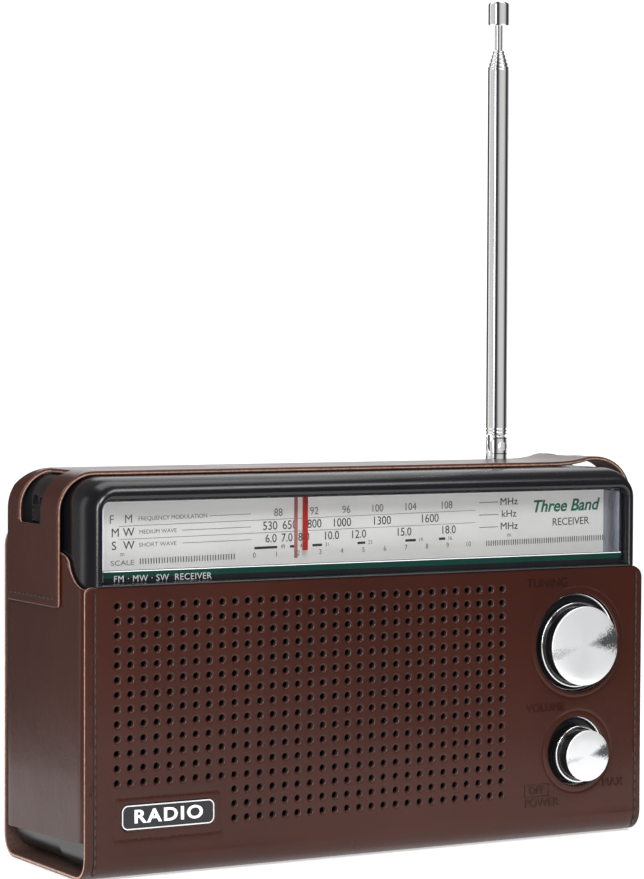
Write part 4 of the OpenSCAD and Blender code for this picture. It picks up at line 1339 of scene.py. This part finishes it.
@dataclass
class Dial:
    """Print on the scale plate, the painted strip of the lens and the needle's painted shadow, a faint pink
    double.

    Places on the dial are in millimetres.
    """

    plate_y: float = -0.01905
    strip_y: float = -0.02826
    strip_x: float = 98.4
    label_x: float = -84.7
    unit_x: float = 58.5
    fm: float = 113.3
    mw: float = 109.1
    sw: float = 105.0
    metres: float = 102.2
    log: float = 99.85
    skew: float = 0.0135
    skew_x: float = 0.0335
    skew_z: float = 0.107

    def print_row(self, name: str, z: float, height: float, look: Look, wide: float,
                  entries: Sequence[tuple[str, float]]) -> bpy.types.Object:
        """Prints words along one line of the scale, each centred at its X."""
        size = height * MM / CAPITAL_HEIGHT
        return joined(name, [lettering(word, size, (x * MM, self.plate_y, z * MM), look, f"{name}_{k}",
                                       squeeze=wide) for k, (word, x) in enumerate(entries)])

    def bars(self, boxes: Sequence[tuple[float, float, float, float]], y: float, look: Look,
             name: str) -> bpy.types.Object:
        """Prints thin bars, each given as x0, x1, z0, z1."""
        pile = MeshPile()
        for x0, x1, z0, z1 in boxes:
            slab(pile, (x0 * MM, y - 0.00004, z0 * MM), (x1 * MM, y + 0.00004, z1 * MM), 0.00001)
        return pile.piece(name, [look])

    def words(self) -> list[bpy.types.Object]:
        """Numbers, band names and units of the three bands, row by row."""
        left, unit, small, dark, grey = self.label_x, self.unit_x, 1.3, Look.PRINT_DARK, Look.PRINT_GREY
        fm, mw, sw, metres, log = self.fm, self.mw, self.sw, self.metres, self.log
        rows = [
            ("fm_numbers", fm, 2.5, grey, 0.92,
             [("88", -30.8), ("92", -17.4), ("96", -5.3), ("100", 6.5), ("104", 19.3), ("108", 33.5)]),
            ("mw_numbers", mw, 2.8, dark, 0.92,
             [("530", -33.9), ("650", -26.6), ("800", -17.4), ("1000", -7.1), ("1300", 8.2), ("1600", 26.8)]),
            ("sw_numbers", sw, 2.7, dark, 0.92,
             [("6.0", -33.6), ("7.0", -27.7), ("8.0", -21.4), ("10.0", -11.1), ("12.0", -0.8),
              ("15.0", 16.7), ("18.0", 34.2)]),
            ("metre_numbers", metres, small, grey, 0.92,
             [("49", -29.2), ("41", -22), ("31", -12.6), ("25", 3.8), ("19", 23.3), ("16", 34.8)]),
            ("log_numbers", log, 1.7, grey, 0.92, [(str(n), -39.8 + 8.19 * n) for n in range(11)]),
            ("label_fm", fm, 2.7, grey, 1.0, [("F", -90.6), ("M", left)]),
            ("label_mw", mw, 2.7, dark, 1.0, [("M", -89.4), ("W", left)]),
            ("label_sw", sw, 2.7, dark, 1.0, [("S", -89.9), ("W", left)]),
            ("label_scale", log - 0.3, 1.6, grey, 1.3, [("SCALE", -87.0)]),
            ("words_fm", fm, small, grey, 1.05, [("FREQUENCY MODULATION", -69.0)]),
            ("words_mw", mw, small, grey, 1.05, [("MEDIUM WAVE", -74.4)]),
            ("words_sw", sw, small, grey, 1.15, [("SHORT WAVE", -74.5)]),
            ("unit_fm", fm + 0.35, 2.4, dark, 1.1, [("MHz", unit)]),
            ("unit_mw", mw + 0.4, 2.4, dark, 1.1, [("kHz", unit)]),
            ("unit_sw", sw + 0.3, 2.4, dark, 1.1, [("MHz", unit)]),
            ("unit_metres", metres + 0.2, 1.5, grey, 0.92, [("m", -87.0), ("m", unit)]),
        ]
        return [self.print_row(*row) for row in rows]

    def scale(self) -> list[bpy.types.Object]:
        """Everything printed on the scale plate: words, band bars, rules, ticks and the slogan."""
        fm, mw, sw, metres, dark = self.fm, self.mw, self.sw, self.metres, Look.PRINT_DARK
        bands = ((-39.7, -31.4), (-26.6, -23.7), (-18.2, -14.6), (-1.1, 1.8), (17.3, 21.4), (30.5, 32.9))
        band_bars = [(x0, x1, metres - 0.4, metres + 0.4) for x0, x1 in bands]
        rules = [(-88, 45, z - 0.08, z + 0.08) for z in (111.2, 107.05)]
        rules += [(46.5, 54.2, z - 0.12, z + 0.12) for z in (fm + 0.4, mw + 0.4, sw + 0.3)]
        rules += [(x0, -40.9, z - 0.09, z + 0.09) for x0, z in ((-56, fm), (-65.8, mw), (-65.8, sw))]
        starts = [-80.9 + 0.96 * n for n in range(36)] + [49.3 + 0.9 * n for n in range(54)]
        ticks = [(x, x + 0.3, 98.95, 100.75) for x in starts]
        made = [
            *self.words(),
            self.bars(band_bars, self.plate_y, dark, "band_bars"),
            self.bars(rules, self.plate_y, Look.PRINT_GREY, "scale_rules"),
            self.bars(ticks, self.plate_y, dark, "scale_ticks"),
            lettering("Three Band", 0.0058, (0.0815, self.plate_y, 0.1114), Look.PRINT_GREEN, "slogan",
                      weight=0.02, shear=0.28),
            lettering("RECEIVER", 0.0036, (0.0838, self.plate_y, 0.1059), dark, "slogan_small"),
        ]
        for piece in made:
            self.tilt(piece)
        return made

    def tilt(self, piece: bpy.types.Object) -> None:
        """Turns a printed piece with the whole print, which stands a little askew on its plate."""
        for vertex in piece.data.vertices:
            vertex.co.z += self.skew * (vertex.co.x - self.skew_x)
            vertex.co.x -= self.skew * (vertex.co.z - self.skew_z)

    def strip(self) -> list[bpy.types.Object]:
        """The painted lower edge of the lens with its caption, strips of painted highlight and painted shade
        at its left edge, and the dial's end walls, coloured as painted reflection.
        """
        y, half = self.strip_y, self.strip_x
        lines = [(-half, half, 91.8, 94.1, Look.BAND_BLACK, "lens_strip"),
                 (-half, half, 94.1, 96.0, Look.BAND_GREEN, "lens_green_band"),
                 (-half, half, 96.0, 96.3, Look.PRINT_WHITE, "lens_line"),
                 (-half, half, 96.3, 96.5, Look.BAND_BLACK, "lens_dark_line"),
                 # Painted light at the lens's left edge: a strip of painted shade and a strip of painted
                 # highlight.
                 (-98.65, -98.3, 92.9, 117.4, Look.LENS_SHADE, "lens_shade"),
                 (-98.3, -97.9, 92.9, 117.4, Look.LENS_EDGE_HIGHLIGHT, "lens_edge")]
        made = [self.bars([box], y, look, name) for *box, look, name in lines]
        # The end walls wear grey-blue painted reflection, standing for the clear lens's side walls.
        ends = MeshPile()
        for side in (-1, 1):
            x0, x1 = sorted((side * 0.0977, side * 0.098))
            slab(ends, (x0, -0.0279, 0.0932), (x1, -0.019, 0.1172), 0.00005)
        made.append(ends.piece("dial_end_walls_painted_reflection", [Look.END_WALL_REFLECTION]))
        made.append(lettering("FM · MW · SW  RECEIVER", 0.0029, (-0.0945, y - 0.0001, 0.0937),
                              Look.CAPTION_GREY, "lens_caption", align="LEFT", spacing=1.08))
        return made

    def build(self) -> None:
        """Prints the plate and the lens, and lays the needle's painted shadow, a faint pink double, behind
        it.
        """
        ride(self.scale(), "radio")
        ride(self.strip(), "radio")
        low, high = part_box("dial_pointer")
        middle = (low.x + high.x) / 2 / MM
        # Painted shadow: a faint pink copy of the needle on the plate.
        needle_shadow = self.bars([(middle - 2.5, middle - 1.2, 97.6, 119)], self.plate_y - 0.00012,
                          Look.NEEDLE_SHADOW, "needle_ghost")
        ride([needle_shadow], "pointer")


# ---------------------------------------------------------------------------
# Knobs and antenna
# ---------------------------------------------------------------------------


@dataclass
class Knob:
    """A black knob with a silver ring on its skirt and a spun metal face."""

    body: str
    z: float
    radius: float
    face_y: float
    skirt_y: float

    def build(self) -> None:
        """Makes the turned pieces in place of the frame's knob and cap."""
        r, f, s = self.radius, self.face_y, self.skirt_y
        axis = about_y(KNOB_X, self.z)
        bore, foot, land = 0.0031, -0.0286, -0.0281
        grip = turned(f"{self.body}_grip", [
            (bore, foot), (r + 0.0009, foot), (r + 0.001, foot - 0.0002), (r + 0.001, s + 0.0002),
            (r + 0.0008, s), (r + 0.0001, s), (r, s - 0.0002), (r - 0.0002, f + 0.0011),
            (r - 0.0005, f + 0.0006), (r - 0.0012, f + 0.0006), (r - 0.0012, f + 0.0012),
            (bore, f + 0.0012)], axis, Look.KNOB_BLACK, flat_angle=28)
        ring = turned(f"{self.body}_ring", [
            (r + 0.0002, s + 0.0001), (r + 0.00105, s + 0.0001), (r + 0.00105, s - 0.00012),
            (r + 0.0009, s - 0.00026), (r + 0.0004, s - 0.00026), (r + 0.0002, s - 0.0001)],
            axis, Look.SILVER_LINE)
        face = turned(f"{self.body}_face", [
            (0.0, f + 0.0011), (r - 0.00125, f + 0.0011), (r - 0.00125, f + 0.00062),
            (r - 0.0001, f + 0.0006), (r, f + 0.0005), (r, f + 0.0002), (r - 0.0001, f + 0.00006),
            (r - 0.0003, f), (r * 0.6, f), (r * 0.3, f), (0.0, f)], axis, Look.SILVER_LINE, ring=False)
        finish = SpunFinish(f"spun_{self.body}", (0.82, 0.83, 0.84), (KNOB_X, 0, self.z), r)
        face.data.materials[0] = finish.build()
        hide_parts(f"{self.body}_knob")
        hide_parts(f"{self.body}_knob_cap")
        ride([grip, ring], self.body)
        ride([face], self.body)
        a = r + 0.0024
        surround = turned(f"{self.body}_surround", [
            (a - 0.0005, -0.0283), (a, -0.029), (a + 0.0006, -0.0292), (a + 0.0009, -0.0288),
            (a + 0.0009, land), (a - 0.0005, land)], about_y(KNOB_X, self.z + HOLE_RISE), Look.SILVER_LINE)
        ride([surround], "radio")


@dataclass
class Antenna:
    """The chrome mast: turned tubes that slide in each other above the frame's knuckle."""

    x: float = 0.0806
    y: float = 0.0228
    pin_z: float = 0.1312
    foot_z: float = 0.1352
    wall: float = 0.00036

    def tube(self, number: int) -> None:
        """One turned tube with a rolled lip, sized from the frame's own; the first has a hinge tongue."""
        name = f"antenna_tube_{number}"
        low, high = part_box(name)
        r, top, inner = (high.x - low.x) / 2, high.z, (high.x - low.x) / 2 - self.wall
        foot = self.foot_z if number == 1 else low.z
        profile = [(r - 0.0006, foot), (r - 0.0002, foot), (r, foot + 0.0003)]
        if number == 1:
            profile += [(r, foot + 0.0007), (r - 0.0003, foot + 0.0009), (r, foot + 0.0012),
                        (r, foot + 0.0019), (r - 0.0003, foot + 0.0021), (r, foot + 0.0024)]
        profile += [(r, top - 0.0012), (r - 0.00012, top - 0.001), (r, top - 0.0008), (r, top - 0.0003),
                    (r - 0.0001, top - 0.0001), (r - 0.0002, top), (r - 0.00034, top),
                    (inner, top - 0.0003), (inner, foot + 0.0004)]
        pile = MeshPile()
        pile.grid(lathe(profile, 64, about_z(self.x, self.y)), close_rows=True, close_cols=True)
        if number == 1:
            self.tongue(pile)
        piece = pile.piece(name + "_turned", [Look.CHROME], flat_angle=25)
        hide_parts(name)
        ride([piece], f"mast_{number}")

    def tongue(self, pile: MeshPile) -> None:
        """Adds the tongue round the knuckle's pin and the block that closes the first tube."""
        x, y, radius, half = self.x, self.y, 0.0029, 0.00115
        eye = [(0.0, y - half), (radius, y - half), (radius, y + half), (0.0, y + half)]
        pile.grid(lathe(eye, 40, about_y(x, self.pin_z)), close_cols=True)
        for wide, deep, bottom in ((radius, half - 0.00001, self.pin_z), (0.0022, 0.0022, self.foot_z)):
            slab(pile, (x - wide, y - deep, bottom), (x + wide, y + deep, self.foot_z + 0.0006))

    def tip(self) -> None:
        """The rod and its cap."""
        low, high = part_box("antenna_tip")
        rod_low, rod_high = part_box("antenna_rod")
        axis = about_z(self.x, self.y)
        r, q, foot, top = (high.x - low.x) / 2, (rod_high.x - rod_low.x) / 2, low.z, high.z
        cap = turned("antenna_tip_turned", [
            (0.0, foot), (r - 0.0003, foot), (r, foot + 0.0003), (r, top - 0.0008),
            (r - 0.0003, top - 0.0003), (r - 0.0008, top), (r - 0.0016, top), (r - 0.0018, top - 0.0002),
            (0.0, top - 0.0003)], axis, Look.CHROME, 64, 25, ring=False)
        rod = turned("antenna_rod_turned", [
            (0.0, rod_low.z), (q, rod_low.z), (q, rod_high.z), (0.0, rod_high.z)],
            axis, Look.CHROME, 40, 25, ring=False)
        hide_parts("antenna_tip")
        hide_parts("antenna_rod")
        ride([cap, rod], "mast_tip")

    def screw(self) -> None:
        """The head of the knuckle's pin."""
        y = self.y - 0.00375
        head = turned("knuckle_screw", [
            (0.0, y - 0.0001), (0.0015, y - 0.0001), (0.0016, y - 0.0002), (0.0016, y - 0.0005),
            (0.0014, y - 0.0007), (0.0, y - 0.00075)],
            about_y(self.x, self.pin_z), Look.CHROME, 40, 40, ring=False)
        ride([head], "swivel")

    def painted_groove_shade(self) -> None:
        """Black strips of painted shade for the grooves in the knuckle above and below its pin, on the front
        and the back.
        """
        pile = MeshPile()
        inner, outer, half = 0.0036, 0.00381, 0.00016
        for z in (0.1341, 0.1286):
            for facing in (-math.pi / 2, math.pi / 2):
                turn = facing + np.linspace(-0.9, 0.9, 19)
                rows = [np.column_stack([self.x + r * np.cos(turn), self.y + r * np.sin(turn),
                                         np.full(len(turn), z + dz)])
                        for r, dz in ((inner, -half), (outer, -half), (outer, half), (inner, half))]
                pile.grid(np.stack(rows), close_rows=True)
                for end, faces in ((0, [[0, 1, 2], [0, 2, 3]]), (-1, [[0, 2, 1], [0, 3, 2]])):
                    pile.add(np.stack([row[end] for row in rows]), np.array(faces))
        ride([pile.piece("knuckle_groove_shade", [Look.KNOB_BLACK])], "swivel")

    def build(self) -> None:
        """Makes every turned piece."""
        for number in range(1, 6):
            self.tube(number)
        self.tip()
        self.screw()
        self.painted_groove_shade()


# ---------------------------------------------------------------------------
# Frame finishes, studio and camera
# ---------------------------------------------------------------------------

FRAME_LOOKS: dict[Look, str] = {
    Look.BRASS: "press_stud_posts tuning_bush",
    Look.SATIN_BLACK: "rear_cabinet battery_cover battery_tray earphone_jack",
    Look.GLOSS_BLACK: "badge_plate",
    Look.KNOB_BLACK: "band_selector",
    Look.CLEAR: "dial_lens",
    Look.SCALE_WHITE: "dial_scale",
    Look.NEEDLE_RED: "dial_pointer",
    Look.STEEL: "cabinet_screws pointer_rail tuning_shaft drum_shaft volume_shaft volume_control "
                "speaker_basket speaker_magnet speaker_screws board_coils band_switch "
                "battery_springs battery_contacts",
    Look.NYLON: "dial_drum tuning_capacitor cord_pulleys ferrite_holders",
    Look.CORD: "dial_cord",
    Look.PAPER_CONE: "speaker_cone",
    Look.BOARD: "circuit_board",
    Look.FERRITE: "ferrite_rod",
    Look.COPPER: "ferrite_coil",
    Look.CELL: "batteries",
    Look.CHROME: "antenna_collar antenna_swivel antenna_pin",
}


def paint_frame() -> None:
    """Gives every node that the frame keeps its finish."""
    for look, names in FRAME_LOOKS.items():
        for name in names.split():
            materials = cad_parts[name].data.materials
            materials.clear()
            materials.append(look.material())


@dataclass
class Studio:
    """A pale floor, soft lamps round the radio and the camera."""

    yaw: float = 29.830
    pitch: float = -1.8467
    roll: float = 0.2282
    spot: tuple[float, float, float] = (-0.49139, -0.8504, 0.16686)
    lens: float = 120.33

    def camera(self) -> None:
        """Stands the camera: turned from straight ahead by yaw, tipped by pitch and rolled."""
        data = bpy.data.cameras.new("camera")
        data.lens = self.lens
        data.sensor_width = 36
        data.clip_start = 0.01
        data.clip_end = 60
        eye = in_scene("camera", data)
        turns = ((-self.yaw, "Z"), (90 + self.pitch, "X"), (self.roll, "Z"))
        heading, tip, lean = (Matrix.Rotation(math.radians(angle), 4, axis) for angle, axis in turns)
        eye.matrix_world = Matrix.Translation(self.spot) @ heading @ tip @ lean
        bpy.context.scene.camera = eye

    def lamp(self, name: str, spot: Sequence[float], size: tuple[float, float], power: float) -> None:
        """One rectangular soft lamp that faces the middle of the radio."""
        data = bpy.data.lights.new(name, "AREA")
        data.shape = "RECTANGLE"
        data.size, data.size_y = size
        data.energy = power
        lamp = in_scene(name, data)
        heading = Vector((0, 0, 0.08)) - Vector(spot)
        lamp.matrix_world = Matrix.Translation(spot) @ heading.to_track_quat("-Z", "Y").to_matrix().to_4x4()

    def floor(self) -> None:
        """A white floor that curves up into a backdrop, square to the camera."""
        angle = np.linspace(0, math.pi / 2, 12)
        bend, bend_start, wall_top, sunk = 0.4, 1.2, 1.6, 0.0003
        away = np.concatenate([[-0.36, 0.3], bend_start + bend * np.sin(angle), [bend_start + bend]])
        z = np.concatenate([[0.0, 0.0], bend - bend * np.cos(angle), [wall_top]]) - sunk
        yaw = math.radians(self.yaw)
        forward = np.array([math.sin(yaw), math.cos(yaw)])
        right = np.array([math.cos(yaw), -math.sin(yaw)])
        half = 0.24 + 0.16 * np.clip(away, 0, 1.6)
        pile = MeshPile()
        pile.grid(np.stack([np.column_stack([away[:, None] * forward + (side * half)[:, None] * right, z])
                            for side in (-1, 1)]))
        sheet = NodeSheet("studio_floor")
        sheet.set(Roughness=0.6, Emission_Color=(1, 1, 1, 1), Emission_Strength=0.55)
        sheet.paint(sheet.noise(2, 3), "Fac", [(0.3, (0.66, 0.66, 0.66)), (0.7, (0.7, 0.7, 0.7))])
        piece = pile.piece("studio_floor", [])
        piece.data.materials.append(sheet.material)

    def world(self) -> None:
        """Fills the surroundings with soft white."""
        world = bpy.data.worlds.new("studio_world")
        world.use_nodes = True
        background = world.node_tree.nodes["Background"]
        background.inputs["Color"].default_value = (1, 1, 1, 1)
        background.inputs["Strength"].default_value = 0.12
        bpy.context.scene.world = world

    def build(self) -> None:
        """Sets up the whole studio."""
        self.camera()
        self.floor()
        self.world()
        bpy.context.scene.view_settings.view_transform = "Standard"
        self.lamp("front", (-0.75, -1.25, 0.95), (0.9, 0.5), 22)
        self.lamp("side_left", (-1.3, -0.74, 0.4), (0.4, 0.8), 14)
        self.lamp("rim_left", (-0.95, 1.1, 0.25), (0.25, 0.9), 0.8)
        self.lamp("fill_high", (0.4, -0.9, 1.3), (1.0, 0.5), 12)
        self.lamp("top", (0.1, 0.5, 1.25), (1.2, 0.7), 5)


def main() -> None:
    """Builds every part round the frame and sets up the studio."""
    logging.basicConfig(level=logging.INFO, format="%(name)s: %(message)s")
    paint_frame()
    LeatherCase().build()
    Cabinet().build()
    Badge().build()
    Dial().build()
    Knob("tuning", TUNING_Z, 0.0134, -0.0356, -0.0304).build()
    Knob("volume", VOLUME_Z, 0.0086, -0.0376, -0.0324).build()
    Antenna().build()
    Studio().build()


if __name__ == "__main__":
    main()
